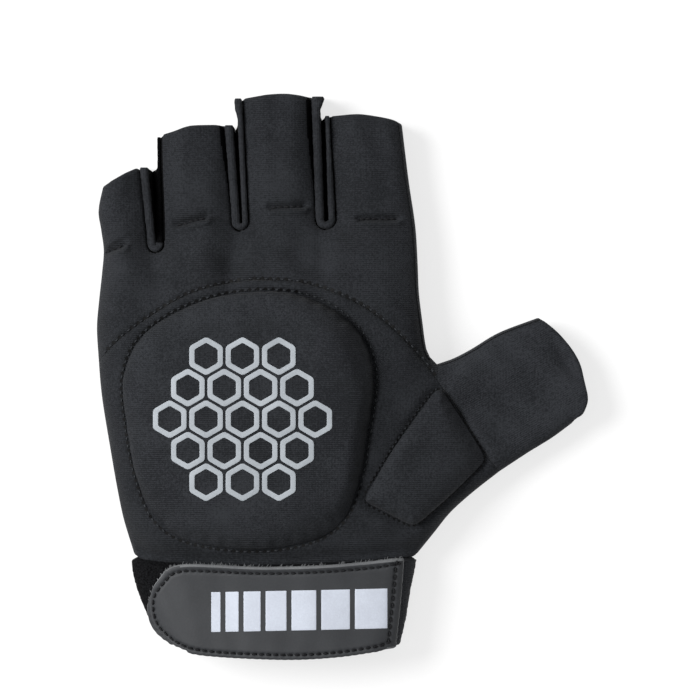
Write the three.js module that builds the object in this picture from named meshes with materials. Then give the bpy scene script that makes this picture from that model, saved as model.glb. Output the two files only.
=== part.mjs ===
// A left-hand field hockey glove with open finger ends, lying palm down.
// Millimetres. +X points to the thumb, +Y to the fingers and +Z up from the surface that it lies on.
// Each panel is a curved sheet: points of its outline in plan, lifted onto the form of the hand.
import * as THREE from "three";

// Sizes of the cloth and of the form
const WALL = 2; // laminated stretch cloth
const GAP = 0.3; // between two sewn pieces
const SEAM_HEIGHT = 8.5; // where back and palm meet along the sides
const THUMB_TOP = 13.5; // the flattened thumb stall
const THUMB_BLEND = 4; // how softly the hand runs into the thumb
const SIDE_ROUND = { share: 0.7, least: 2.5 }; // the rounding of the sides grows with the height
const PALM_ROUND = 9;
const PALM_SLIT = 0.5; // between the finger fronts, which almost meet
const VALLEY = { depth: 3, reach: 12, below: 14, above: 6 }; // the back falls towards the finger slots

// Sizes of what is sewn on
const BACK_PAD = { height: 4.5, edge: 7, rim: 1, gap: 0.4 };
const THUMB_PAD = { height: 3, edge: 5, rim: 1, gap: 0.4 };
const CUFF_WALL = 1.6;
const CUFF_END = { left: -76.4, right: -84.2 }; // the wrist opening slants
const CUFF_MIDDLE_Y = -67.4;
const CUFF_TOP_Y = -52; // it ends inside the body
const CUFF_TUCK = { depth: 2.6, start: 2.2, end: 0.5 }; // it narrows just below the body's hem
const STRAP = { wall: 1.6, gap: 0.5 };

// A list of records from rows of numbers, one name for each column
function table(names, ...rows) {
  const keys = names.split(" ");
  return rows.map((row) => Object.fromEntries(keys.map((key, k) => [key, row[k]])));
}

// The form of the hand across its width, without the thumb
const HAND = table(
  "y left right top drop",
  [-90, -57, 17, 20.5, 3.5],
  [-70, -62, 20, 20.5, 3.5],
  [-56, -64.4, 23.7, 22, 4.5],
  [-42, -68.1, 25.5, 24.5, 5.5],
  [-24, -71.5, 26.5, 25.5, 6],
  [-5, -74.5, 27, 26, 6],
  [15, -75.9, 25.5, 25, 5],
  [32, -74.5, 24, 22.5, 4],
  [45, -74.5, 23.2, 19.5, 3],
  [60, -73.7, 21, 17.5, 2.5],
  [90, -73.7, 18, 16, 2],
);

// Side lines and seams in plan, from the wrist upwards
const LITTLE_SIDE = table(
  "x y",
  [-64.4, -55.3], [-68.1, -42.6], [-72.6, -17.8], [-74.5, -5.4], [-75.5, 7], [-75.9, 15],
  [-75.3, 22.5], [-74.3, 31.8], [-73.8, 38.7], [-74.6, 45], [-75.4, 51], [-73.7, 59.7],
);
const INDEX_SIDE = table(
  "x y",
  [29.7, 3.3], [27.9, 5.7], [26.7, 8.6], [25.2, 16.3], [24.1, 25.6], [23.7, 35], [23, 46], [21, 59.7], [18.8, 77.7],
);
const THUMB_INNER = table("x y", [29.7, 3.3], [37.1, 7], [49.2, 13.2], [61.6, 17.9]);
const THUMB_OUTER = table("x y", [49.2, -29.9], [58.2, -24], [65.5, -19.5], [72, -14.7]);
const THUMB_HEEL = table("x y", [23.7, -55.3], [28.8, -49], [34, -42.6], [40.9, -36.4], [49.2, -29.9]);
const THUMB_TIP = table("x y", [72, -14.7], [75.2, -10.6], [76.2, -5.4], [73.5, 3.5], [68, 11.8], [61.6, 17.9]);
const THUMB_SEAM = table(
  "x y",
  [49.2, -29.9], [45.8, -26.1], [39.3, -16.2], [34.3, -7.8], [29.9, -1.8], [29.8, 0.8], [29.7, 3.3],
);
const BACK_SEAM = table(
  "x y",
  [-75.3, 3.9], [-69.6, 10.2], [-60.3, 17.3], [-46.8, 25.1], [-31.2, 29], [-20.5, 29.2],
  [-9.8, 28], [4.4, 22.6], [15.1, 15.2], [24.6, 5.4], [29.9, -1.8],
);
const WRIST_HEM = table("x y", [-64.4, -55.3], [-54, -57.4], [-25.2, -58.2], [2.7, -57.2], [23.7, -55.3]);

// Heights in plan where the outlines above meet
const WRIST_Y = -55.3;
const HEEL_Y = -29.9; // the thumb seam reaches the outer side
const SEAM_Y = { left: 3.9, right: -1.8 }; // the ends of the arched seam
const CROTCH_Y = 3.3; // between the index finger and the thumb
const BASE_Y = { little: 39.5, index: 47 }; // the fingers' bases on the outer sides
const THUMB_END_Y = { inner: 17.9, outer: -14.7 };

// Open finger ends: the height of both corners, and how far the end bows out between them
const FINGERS = table(
  "tipLeft tipRight bow cells",
  [59.7, 63.8, 1.1, 4],
  [73.7, 77.3, 1.5, 5],
  [85.3, 85.9, 1.2, 5],
  [80.4, 77.7, 1.5, 5],
);

// Slots between the fingers: the middle lines of the strip that runs down one finger and up the next.
// A lean is the sideways step for each millimetre of height, and the foot is a half circle below footY.
const SLOTS = table(
  "name footY leftX leftLean leftWidth rightX rightLean rightWidth",
  ["little_ring", 40.4, -58.6, -0.105, 2.2, -56.25, -0.05, 1.5],
  ["ring_middle", 47.3, -32.7, -0.07, 2.6, -29.95, -0.06, 1.9],
  ["middle_index", 48.2, -6.5, -0.045, 3, -3, -0.045, 2.5],
);

// What is sewn on, in plan, each as four sides
const BACK_PAD_SIDES = {
  bottom: table("x y", [-59, -43.4], [-50, -50.6], [-27.6, -53.9], [-8, -51], [1.5, -44.6]),
  top: table("x y", [-63.5, 10.8], [-52.5, 18.7], [-38.3, 24.1], [-20.5, 25.9], [-4.8, 22.6], [6.4, 14]),
  left: table("x y", [-59, -43.4], [-64, -28], [-66.6, -11], [-67.4, -1], [-63.5, 10.8]),
  right: table("x y", [1.5, -44.6], [5.8, -33], [9, -14], [10.6, 1.6], [6.4, 14]),
};
const THUMB_PAD_SIDES = {
  bottom: table("x y", [6.6, -38.6], [13.9, -42.6], [22.3, -46.7]),
  top: table("x y", [30, -3.4], [37.6, -14.6], [44.9, -26.2]),
  left: table("x y", [6.6, -38.6], [17, -21.6], [30, -3.4]),
  right: table("x y", [22.3, -46.7], [33, -37.6], [44.9, -26.2]),
};
const STRAP_SIDES = {
  bottom: table("x y", [-52.1, -83], [-43.3, -85.9], [-18, -87.3], [0, -86.4], [16.8, -83.9]),
  top: table("x y", [-54.3, -60.8], [-47.7, -58.8], [-24, -59.6], [-2, -58.9], [19.5, -56.9]),
  left: table("x y", [-52.1, -83], [-57, -78.4], [-58.9, -73.2], [-58.4, -67.5], [-54.3, -60.8]),
  right: table("x y", [16.8, -83.9], [18.4, -70], [19.5, -56.9]),
};

// The sides of the wristband
const CUFF = table(
  "y left right",
  [-90, -53, 16.5],
  [-84.3, -55.5, 17.6],
  [-76.5, -59.4, 19.3],
  [-67.4, -63.1, 20.6],
  [-60, -65, 22.2],
  [-54, -64.6, 23.8],
);

// Curves
const mix = THREE.MathUtils.lerp;
const { clamp, smoothstep } = THREE.MathUtils;

// A column of a table at y, as a smooth curve through its rows
function columnAt(rows, key, y) {
  const last = rows.length - 1;
  let k = 0;
  while (k < last - 1 && y > rows[k + 1].y) k += 1;
  const slope = (a, b) => (rows[b][key] - rows[a][key]) / (rows[b].y - rows[a].y);
  const step = rows[k + 1].y - rows[k].y;
  const start = slope(Math.max(k - 1, 0), k + 1) * step;
  const end = slope(k, Math.min(k + 2, last)) * step;
  const t = clamp((y - rows[k].y) / step, 0, 1);
  const fromStart = (1 + 2 * t) * (1 - t) ** 2 * rows[k][key] + t * (1 - t) ** 2 * start;
  const fromEnd = (3 - 2 * t) * t ** 2 * rows[k + 1][key] - (1 - t) * t ** 2 * end;
  return fromStart + fromEnd;
}

// A stretch of a side line or seam between two heights, as a function of the share of its height
function along(rows, fromY, toY) {
  return (share) => {
    const y = mix(fromY, toY, share);
    return new THREE.Vector2(columnAt(rows, "x", y), y);
  };
}

// A curve through the rows of a table, as a function of the share of its length
function through(rows) {
  const spline = new THREE.SplineCurve(rows.map((row) => new THREE.Vector2(row.x, row.y)));
  return (share) => spline.getPointAt(share);
}

// Two curves in a row, which meet at a share of the whole
const joined = (first, second, at) => (share) =>
  share < at ? first(share / at) : second((share - at) / (1 - at));

// A four-sided patch between curves: u runs along bottom and top, v along left and right
function patch({ bottom, top, left, right }) {
  return (u, v) => {
    const point = left(v).multiplyScalar(1 - u).addScaledVector(right(v), u);
    point.addScaledVector(bottom(u), 1 - v).addScaledVector(top(u), v);
    point.addScaledVector(bottom(0), -(1 - u) * (1 - v)).addScaledVector(bottom(1), -u * (1 - v));
    return point.addScaledVector(top(0), -(1 - u) * v).addScaledVector(top(1), -u * v);
  };
}

const patchThrough = (sides) =>
  patch(Object.fromEntries(Object.entries(sides).map(([name, rows]) => [name, through(rows)])));

// Shares from 0 to 1, packed towards the ends that are asked for
function spread(cells, { start = false, end = false } = {}) {
  return Array.from({ length: cells + 1 }, (_, k) => {
    const t = k / cells;
    if (start && end) return (1 - Math.cos(Math.PI * t)) / 2;
    if (start) return 1 - Math.cos((Math.PI * t) / 2);
    if (end) return Math.sin((Math.PI * t) / 2);
    return t;
  });
}
const BOTH_ENDS = { start: true, end: true };

// Distances in plan
const LINE_STEPS = 60;
const ON_LINE = 0.05; // a point this near to a line lies on it
const sampled = (line) => spread(LINE_STEPS).map(line);

// The nearest point of some lines: its distance, and the direction away from it.
// On a line, the direction points to the right of the line's own.
function fromLines(lines, x, y) {
  const found = { distance: Infinity };
  for (const line of lines) {
    for (let k = 0; k + 1 < line.length; k += 1) {
      const step = new THREE.Vector2().subVectors(line[k + 1], line[k]);
      const away = new THREE.Vector2(x - line[k].x, y - line[k].y);
      away.addScaledVector(step, -clamp(away.dot(step) / step.lengthSq(), 0, 1));
      if (away.length() < found.distance) Object.assign(found, { distance: away.length(), away, step });
    }
  }
  if (found.distance > ON_LINE) return { distance: found.distance, direction: found.away.normalize() };
  return { distance: 0, direction: new THREE.Vector2(found.step.y, -found.step.x).normalize() };
}

// The glove's sides, each with the glove on its right
const SIDE_LINES = [
  sampled(along(LITTLE_SIDE, WRIST_Y, FINGERS[0].tipLeft)),
  sampled(along(INDEX_SIDE, FINGERS[3].tipRight, CROTCH_Y)),
  sampled(along(THUMB_INNER, CROTCH_Y, THUMB_END_Y.inner)),
  sampled(along(THUMB_OUTER, THUMB_END_Y.outer, HEEL_Y)),
  sampled(along(THUMB_HEEL, HEEL_Y, WRIST_Y)),
];

// A strip's middle line on the left or the right side of its slot
const leftArm = (slot, y) => slot.leftX + slot.leftLean * Math.max(y - slot.footY, 0);
const rightArm = (slot, y) => slot.rightX + slot.rightLean * Math.max(y - slot.footY, 0);

// How far a panel's edge stays outside a strip's middle line, from the strip's width and the radius
// of the slot there: the finger backs end beside the strips, and the palm carries the strips
const BESIDE_STRIP = (width) => width / 2 + GAP;
const UNDER_STRIP = (width, radius) => PALM_SLIT / 2 - radius;

// The sides of a finger in plan
function fingerEdges(k, y, reach) {
  const [before, after] = [SLOTS[k - 1], SLOTS[k]];
  const radius = (slot) => (rightArm(slot, y) - leftArm(slot, y)) / 2;
  return {
    left: before
      ? rightArm(before, y) + reach(before.rightWidth, radius(before))
      : columnAt(LITTLE_SIDE, "x", y),
    right: after
      ? leftArm(after, y) - reach(after.leftWidth, radius(after))
      : columnAt(INDEX_SIDE, "x", y),
  };
}

// The form of the hand
// A quarter ellipse: 0 on the side line, and 1 from the radius inwards
const rounding = (distance, radius) => Math.sqrt(1 - (1 - clamp(distance / radius, 0, 1)) ** 2);
const sideRadius = (rise) => SIDE_ROUND.share * rise + SIDE_ROUND.least;
const smoothMax = (a, b, blend) => Math.max(a, b) + Math.max(blend - Math.abs(a - b), 0) ** 2 / (4 * blend);

// How far the back falls towards the slots, so that each finger is arched
function valleyDrop(x, y) {
  const drops = SLOTS.map((slot) => {
    const away = Math.max(leftArm(slot, y) - x, x - rightArm(slot, y), 0);
    const share = Math.max(1 - away / VALLEY.reach, 0) ** 2;
    return VALLEY.depth * share * smoothstep(y, slot.footY - VALLEY.below, slot.footY + VALLEY.above);
  });
  return Math.max(...drops);
}

// The height of the form, before its sides are rounded
function formTop(x, y) {
  const [left, right] = [columnAt(HAND, "left", y), columnAt(HAND, "right", y)];
  const across = (2 * x - left - right) / (right - left);
  return columnAt(HAND, "top", y) - columnAt(HAND, "drop", y) * across ** 2;
}

// A point on the outer face of a sheet that rises or falls from the seam height inwards from its side,
// and the point of its inner face
function sheetPoints(x, y, { distance, direction }, rise, radius, wall) {
  const inwards = Math.max(wall * (1 - distance / radius), 0);
  const height = rounding(distance, radius);
  return {
    outer: new THREE.Vector3(x, y, SEAM_HEIGHT + rise * height),
    inner: new THREE.Vector3(
      x + direction.x * inwards,
      y + direction.y * inwards,
      SEAM_HEIGHT + (rise - Math.sign(rise) * wall) * height,
    ),
  };
}

function backPoints(x, y) {
  const rise = smoothMax(formTop(x, y) - valleyDrop(x, y), THUMB_TOP, THUMB_BLEND) - SEAM_HEIGHT;
  return sheetPoints(x, y, fromLines(SIDE_LINES, x, y), rise, sideRadius(rise), WALL);
}
const backHeight = (x, y) => backPoints(x, y).outer.z + GAP / 2;

// The wristband, drawn in all round by a depth where the body covers it
function cuffPoints(x, y, { depth = 0, underside = false } = {}) {
  const fromLeft = x - columnAt(CUFF, "left", y) - depth;
  const fromRight = columnAt(CUFF, "right", y) - depth - x;
  const side = {
    distance: Math.max(Math.min(fromLeft, fromRight), 0),
    direction: new THREE.Vector2(fromLeft < fromRight ? 1 : -1, 0),
  };
  const rise = underside ? depth - SEAM_HEIGHT : formTop(x, y) - depth - SEAM_HEIGHT;
  return sheetPoints(x, y, side, rise, underside ? PALM_ROUND : sideRadius(rise), CUFF_WALL);
}
const cuffHeight = (x, y) => cuffPoints(x, y).outer.z;

// The point at a distance above a surface, along its normal
function above(height, x, y, distance) {
  const step = 0.5;
  const slopeX = (height(x + step, y) - height(x - step, y)) / (2 * step);
  const slopeY = (height(x, y + step) - height(x, y - step)) / (2 * step);
  const normal = new THREE.Vector3(-slopeX, -slopeY, 1).normalize();
  return new THREE.Vector3(x, y, height(x, y)).addScaledVector(normal, distance);
}

// Closed meshes
function geometryOf(positions, faces) {
  const geometry = new THREE.BufferGeometry();
  geometry.setAttribute("position", new THREE.Float32BufferAttribute(positions, 3));
  geometry.setIndex(faces);
  geometry.computeVertexNormals();
  return geometry;
}

// A sheet from rows of points, each with a place over and under the cloth.
// A null is a place without cloth, as is the end of a row that is shorter than the one below it.
// A closed sheet joins its last column to its first.
function sheet(rows, { closed = false } = {}) {
  const positions = [];
  const faces = [];
  const rims = new Map();
  const quad = (a, b, c, d) => faces.push(a, b, c, a, c, d);
  const indices = rows.map((row) =>
    row.map((point) => {
      if (!point) return null;
      positions.push(...point.over.toArray(), ...point.under.toArray());
      return positions.length / 3 - 2;
    }),
  );
  indices.slice(1).forEach((upper, i) => {
    const lower = indices[i];
    const cells = closed ? upper.length : upper.length - 1;
    for (let j = 0; j < cells; j += 1) {
      const next = (j + 1) % lower.length;
      const corners = [lower[j], lower[next], upper[next], upper[j]];
      if (corners.includes(null)) continue;
      const [a, b, c, d] = corners;
      quad(a, b, c, d);
      quad(a + 1, d + 1, c + 1, b + 1);
      corners.forEach((from, k) => rims.set(`${from} ${corners[(k + 1) % 4]}`, [from, corners[(k + 1) % 4]]));
    }
  });
  for (const [from, to] of rims.values()) {
    if (rims.has(`${to} ${from}`)) continue;
    // Both sides of a seam split their rims the same way, so that these don't meet
    if (positions[3 * from] < positions[3 * to]) quad(from, from + 1, to + 1, to);
    else quad(to, from, from + 1, to + 1);
  }
  return geometryOf(positions, faces);
}

// A solid from like sections in a row, each a convex loop of points
function swept(sections) {
  const count = sections[0].length;
  const faces = [];
  for (let i = 0; i + 1 < sections.length; i += 1) {
    for (let j = 0; j < count; j += 1) {
      const [a, b] = [i * count + j, i * count + ((j + 1) % count)];
      faces.push(a, b, b + count, a, b + count, a + count);
    }
  }
  const last = (sections.length - 1) * count;
  for (let j = 1; j + 1 < count; j += 1) {
    faces.push(0, j + 1, j, last, last + j, last + j + 1);
  }
  return geometryOf(sections.flat().flatMap((point) => point.toArray()), faces);
}

const latticeOf = (plan, us, vs, facesAt) => vs.map((v) => us.map((u) => facesAt(plan(u, v))));

// The two faces of the cloth at a point in plan
function backFaces({ x, y }) {
  const { outer, inner } = backPoints(x, y);
  const lift = new THREE.Vector3(0, 0, GAP / 2);
  return { over: outer.add(lift), under: inner.add(lift) };
}
function palmFaces({ x, y }) {
  const { outer, inner } = sheetPoints(x, y, fromLines(SIDE_LINES, x, y), -SEAM_HEIGHT, PALM_ROUND, WALL);
  outer.z = Math.max(outer.z - GAP / 2, 0);
  inner.z -= GAP / 2;
  return { over: inner, under: outer };
}

// The knuckles lie between the arched seam and the foot of the slots. On their right is the thumb's seam
// up to the crotch, and the index finger above it.
const arch = through(BACK_SEAM);
const knuckleLeft = (y) => columnAt(LITTLE_SIDE, "x", y);
const knuckleRight = (y) => columnAt(y < CROTCH_Y ? THUMB_SEAM : INDEX_SIDE, "x", y);

// Where a column at a share of the width meets the arched seam, as a share of the seam's length
function archShareOf(share) {
  let [low, high] = [0, 1];
  if (share <= low || share >= high) return share;
  for (let k = 0; k < 20; k += 1) {
    const middle = (low + high) / 2;
    const { x, y } = arch(middle);
    if (x < mix(knuckleLeft(y), knuckleRight(y), share)) low = middle;
    else high = middle;
  }
  return low;
}

// The columns of a panel with fingers: several over each finger, and three round the foot of each slot
function fingerColumns(reach) {
  const columns = [];
  FINGERS.forEach((finger, k) => {
    const [before, after] = [SLOTS[k - 1], SLOTS[k]];
    spread(finger.cells, { start: !before, end: !after }).forEach((share) => {
      const xAt = (y) => {
        const { left, right } = fingerEdges(k, y, reach);
        return mix(left, right, share);
      };
      const y = mix(before ? before.footY : BASE_Y.little, after ? after.footY : BASE_Y.index, share);
      const tipY = mix(finger.tipLeft, finger.tipRight, share) + finger.bow * 4 * share * (1 - share);
      columns.push({ x: xAt(y), y, xAt, tipY });
    });
    if (!after) return;
    const radius = (after.rightX - after.leftX) / 2;
    [0.25, 0.5, 0.75].forEach((share) => {
      const edge = radius + reach(mix(after.leftWidth, after.rightWidth, share), radius);
      const around = edge / Math.cos(Math.PI / 8); // straight cells keep clear of the round strip
      const angle = Math.PI * (1 + share);
      const x = after.leftX + radius + around * Math.cos(angle);
      columns.push({ x, y: after.footY + around * Math.sin(angle) });
    });
  });
  return columns.map((column) => {
    const left = knuckleLeft(column.y);
    const share = (column.x - left) / (knuckleRight(column.y) - left);
    return { ...column, share, archShare: archShareOf(share) };
  });
}

// The plan between the wrist's hem and the arched seam, which runs on as the thumb's seam
const ARCH_SHARE = 0.8; // of the upper edge
const handPlan = patch({
  bottom: through(WRIST_HEM),
  top: joined(arch, along(THUMB_SEAM, SEAM_Y.right, HEEL_Y), ARCH_SHARE),
  left: along(LITTLE_SIDE, WRIST_Y, SEAM_Y.left),
  right: along(THUMB_HEEL, WRIST_Y, HEEL_Y),
});
const handShares = (columns) => [
  ...columns.map((column) => column.archShare * ARCH_SHARE),
  ...spread(8, { end: true }).slice(1).map((share) => mix(ARCH_SHARE, 1, share)),
];

// Rows of the knuckles. They start just above the arched seam, and one of them ends in the crotch.
const SEAM_STEP = 0.6;
const KNUCKLE_START = SEAM_Y.right + SEAM_STEP;
const CROTCH_ROW = (CROTCH_Y - KNUCKLE_START) / (BASE_Y.index - KNUCKLE_START);
const knuckleRows = (columns, rows, facesAt) =>
  rows.map((row) =>
    columns.map(({ y, share, archShare }) => {
      const rowY = mix(arch(archShare).y + SEAM_STEP, y, row);
      return facesAt({ x: mix(knuckleLeft(rowY), knuckleRight(rowY), share), y: rowY });
    }),
  );

const thumbPlan = patch({
  bottom: along(THUMB_OUTER, HEEL_Y, THUMB_END_Y.outer),
  top: along(THUMB_INNER, CROTCH_Y, THUMB_END_Y.inner),
  left: along(THUMB_SEAM, HEEL_Y, CROTCH_Y),
  right: along(THUMB_TIP, THUMB_END_Y.outer, THUMB_END_Y.inner),
});

// Rows of the fingers above the foot of the slots
const tipRows = (columns, cells, facesAt) =>
  spread(cells).slice(1).map((share) =>
    columns.map(({ xAt, y, tipY }) => {
      if (!xAt) return null;
      const rowY = mix(y, tipY, share);
      return facesAt({ x: xAt(rowY), y: rowY });
    }),
  );

// The pieces
function fingerBackPanel() {
  const columns = fingerColumns(BESIDE_STRIP);
  return sheet([
    ...knuckleRows(columns, [0, CROTCH_ROW, 0.15, 0.22, 0.35, 0.52, 0.7, 0.85, 1], backFaces),
    ...tipRows(columns, 6, backFaces),
  ]);
}

function handBackPanel() {
  const shares = handShares(fingerColumns(BESIDE_STRIP)); // both sides of the arched seam have like points
  return sheet(latticeOf(handPlan, shares, spread(10), backFaces));
}

function palmPanel() {
  const columns = fingerColumns(UNDER_STRIP);
  return sheet([
    ...latticeOf(handPlan, handShares(columns), spread(7), palmFaces),
    ...knuckleRows(columns, [CROTCH_ROW, 0.16, 0.26, 0.6, 1], palmFaces),
    ...tipRows(columns, 3, palmFaces),
  ]);
}

function thumbPanel(facesAt) {
  const seamShare = GAP / 20;
  const columns = [seamShare, ...spread(8).slice(1)];
  return sheet(latticeOf(thumbPlan, columns, spread(10, BOTH_ENDS), facesAt));
}

// A crowned pad on the back, with a low rim along its stitched outline
function pad(sides, { height, edge, rim, gap }, cells) {
  const outline = Object.values(sides).map((rows) => sampled(through(rows)));
  const facesAt = ({ x, y }) => {
    const crown = rim + height * rounding(fromLines(outline, x, y).distance, edge);
    return { over: above(backHeight, x, y, gap + crown), under: above(backHeight, x, y, gap) };
  };
  return sheet(latticeOf(patchThrough(sides), spread(cells, BOTH_ENDS), spread(cells, BOTH_ENDS), facesAt));
}

// A side strip stands on the palm, runs round the foot of its slot and has a rounded top
function fourchette(slot, k) {
  const radius = (slot.rightX - slot.leftX) / 2;
  const armCells = 6;
  const leftStretch = spread(armCells).slice(0, -1).map((share) => {
    const y = mix(FINGERS[k].tipRight, slot.footY, share);
    return { x: leftArm(slot, y), y, angle: Math.PI, width: slot.leftWidth };
  });
  const foot = spread(6).map((share) => {
    const angle = Math.PI * (1 + share);
    return {
      x: slot.leftX + radius + radius * Math.cos(angle),
      y: slot.footY + radius * Math.sin(angle),
      angle,
      width: mix(slot.leftWidth, slot.rightWidth, share),
    };
  });
  const rightStretch = spread(armCells).slice(1).map((share) => {
    const y = mix(slot.footY, FINGERS[k + 1].tipLeft, share);
    return { x: rightArm(slot, y), y, angle: 2 * Math.PI, width: slot.rightWidth };
  });
  const sections = [...leftStretch, ...foot, ...rightStretch].map(({ x, y, angle, width }) => {
    const at = (across, z) => new THREE.Vector3(x + Math.cos(angle) * across, y + Math.sin(angle) * across, z);
    const bottom = WALL + GAP / 2;
    const shoulder = backHeight(x, y) - width / 2;
    const top = spread(4).map((share) => {
      const turn = Math.PI * share;
      return at((-Math.cos(turn) * width) / 2, shoulder + (Math.sin(turn) * width) / 2);
    });
    return [at(width / 2, bottom), at(-width / 2, bottom), ...top];
  });
  return swept(sections);
}

function cuffBand() {
  const shares = spread(22, BOTH_ENDS);
  const loop = [
    ...shares.map((share) => ({ share, underside: false })),
    ...shares.slice(1, -1).reverse().map((share) => ({ share, underside: true })),
  ];
  const endY = (share) => mix(CUFF_END.left, CUFF_END.right, share);
  const hem = through(WRIST_HEM);
  const rings = [
    { yAt: endY, depth: 0 },
    { yAt: (share) => mix(endY(share), CUFF_MIDDLE_Y, 0.5), depth: 0 },
    { yAt: () => CUFF_MIDDLE_Y, depth: 0 },
    { yAt: (share) => hem(share).y - CUFF_TUCK.start, depth: 0 },
    { yAt: (share) => hem(share).y - CUFF_TUCK.end, depth: CUFF_TUCK.depth },
    { yAt: () => CUFF_TOP_Y, depth: CUFF_TUCK.depth },
  ];
  const rows = rings.map(({ yAt, depth }) =>
    loop.map(({ share, underside }) => {
      const y = yAt(share);
      const x = mix(columnAt(CUFF, "left", y) + depth, columnAt(CUFF, "right", y) - depth, share);
      const { outer, inner } = cuffPoints(x, y, { depth, underside });
      return { over: outer, under: inner };
    }),
  );
  return sheet(rows, { closed: true });
}

function strap() {
  const facesAt = ({ x, y }) => ({
    over: above(cuffHeight, x, y, STRAP.gap + STRAP.wall),
    under: above(cuffHeight, x, y, STRAP.gap),
  });
  return sheet(latticeOf(patchThrough(STRAP_SIDES), spread(18, BOTH_ENDS), spread(10, BOTH_ENDS), facesAt));
}

// Materials and the assembly
const material = (color, roughness) => new THREE.MeshStandardMaterial({ color, roughness, metalness: 0 });
const CLOTH = material("#2e3033", 0.9);
const PALM_CLOTH = material("#26282b", 0.8);
const LOOP = material("#17181a", 1);
const COATED = material("#46484c", 0.6);

const glove = new THREE.Group();
function add(name, geometry, finish) {
  const mesh = new THREE.Mesh(geometry, finish);
  mesh.name = name;
  glove.add(mesh);
}

add("finger_back_panel", fingerBackPanel(), CLOTH);
add("hand_back_panel", handBackPanel(), CLOTH);
add("back_pad", pad(BACK_PAD_SIDES, BACK_PAD, 11), CLOTH);
add("thumb_back_panel", thumbPanel(backFaces), CLOTH);
add("thumb_pad", pad(THUMB_PAD_SIDES, THUMB_PAD, 8), CLOTH);
add("palm_panel", palmPanel(), PALM_CLOTH);
add("thumb_palm_panel", thumbPanel(palmFaces), PALM_CLOTH);
SLOTS.forEach((slot, k) => add(`fourchette_${slot.name}`, fourchette(slot, k), CLOTH));
add("cuff_band", cuffBand(), LOOP);
add("strap", strap(), COATED);

export default glove;
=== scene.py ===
# The looks of a left-hand field hockey glove with open finger ends, lying palm down.
# Lengths are in millimetres up to the point where a mesh is made, which is in metres.
import math

import bpy
import numpy as np
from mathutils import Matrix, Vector
from mathutils.bvhtree import BVHTree


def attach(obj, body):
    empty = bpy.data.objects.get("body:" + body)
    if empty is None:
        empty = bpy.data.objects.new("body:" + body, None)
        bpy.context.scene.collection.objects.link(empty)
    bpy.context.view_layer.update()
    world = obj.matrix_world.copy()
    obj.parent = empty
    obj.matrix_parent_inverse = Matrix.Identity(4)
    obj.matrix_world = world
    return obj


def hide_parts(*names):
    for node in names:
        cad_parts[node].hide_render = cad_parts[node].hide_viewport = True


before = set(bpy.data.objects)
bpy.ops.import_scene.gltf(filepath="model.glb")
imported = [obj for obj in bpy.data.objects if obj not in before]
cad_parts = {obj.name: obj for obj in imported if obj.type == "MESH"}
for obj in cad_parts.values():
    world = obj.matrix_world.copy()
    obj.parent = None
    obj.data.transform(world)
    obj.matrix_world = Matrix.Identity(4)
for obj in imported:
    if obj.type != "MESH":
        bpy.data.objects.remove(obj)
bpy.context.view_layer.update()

MM = 0.001

# Sizes of the cloth and of the form. Some of these and of the lines below differ a little from the solids.
WALL = 2.0
ROLL = WALL / 2  # how far a rounded edge stands out past its outline
SEAM_HEIGHT = 8.5
SIDE_SEAM = 0.75  # how far the back and the palm stay from the side seam's middle
SIDE_POWER = 2.5  # how square the back's side is, where 2 is a circle
SIDE_ROUND = {"share": 0.7, "least": 2.5}  # the rounding of the sides grows with the height
THUMB_TOP = 13.5
THUMB_BLEND = 4.0
PALM_ROUND = 9.0
VALLEY = {"depth": 3.0, "reach": 12.0, "below": 14.0, "above": 6.0}
# A pad is a dome over its rim. Where it is steep, its side is a straight slope with a dip at the foot.
BACK_PAD = {
    "height": 4.9, "edge": 9.0, "low_edge": 13.0, "slope": 1.2, "bend": 2.6, "dip": 2.6,
    "flat_foot": 0.85,
    "steep_x": (-24, -6), "steep_y": (-46, -32), "rim": 0.6, "gap": -0.3,
}
THUMB_PAD = {
    "height": 3.0, "edge": 4.0, "low_edge": 4.0, "slope": 0.7, "bend": 1.8, "dip": 0.0,
    "flat_foot": 0.0,
    "steep_x": (22, 38), "steep_y": (-46, -26), "rim": 0.6, "gap": -0.2,
}
CUFF_WALL = 1.6
CUFF_END = (-76.4, -84.2)  # the wrist opening slants
CUFF_MIDDLE_Y = -67.4
CUFF_TOP_Y = -52.0  # it ends inside the body
CUFF_TUCK = {"depth": 2.6, "start": 2.2, "end": 0.5}  # it narrows just below the body's hem
STRAP = {"wall": 1.5, "gap": 0.5}
STRIP_SHARE = 0.93  # how much of its width the rounded top of a strip takes


def line(*points):
    return np.array(points, float)


# The form of the hand across its width: y, left, right, top and drop
HAND = line(
    [-90, -57, 17, 20.5, 3.5], [-70, -62, 20, 20.5, 3.5], [-56, -64.4, 23.7, 22, 4.5],
    [-42, -68.1, 25.5, 24.5, 5.5], [-24, -71.5, 26.5, 25.5, 6], [-5, -74.5, 27, 26, 6],
    [15, -75.9, 25.5, 25, 5], [32, -74.5, 24, 22.5, 4], [45, -74.5, 23.2, 19.5, 3],
    [60, -73.7, 21, 17.5, 2.5], [90, -73.7, 18, 16, 2],
)

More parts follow.
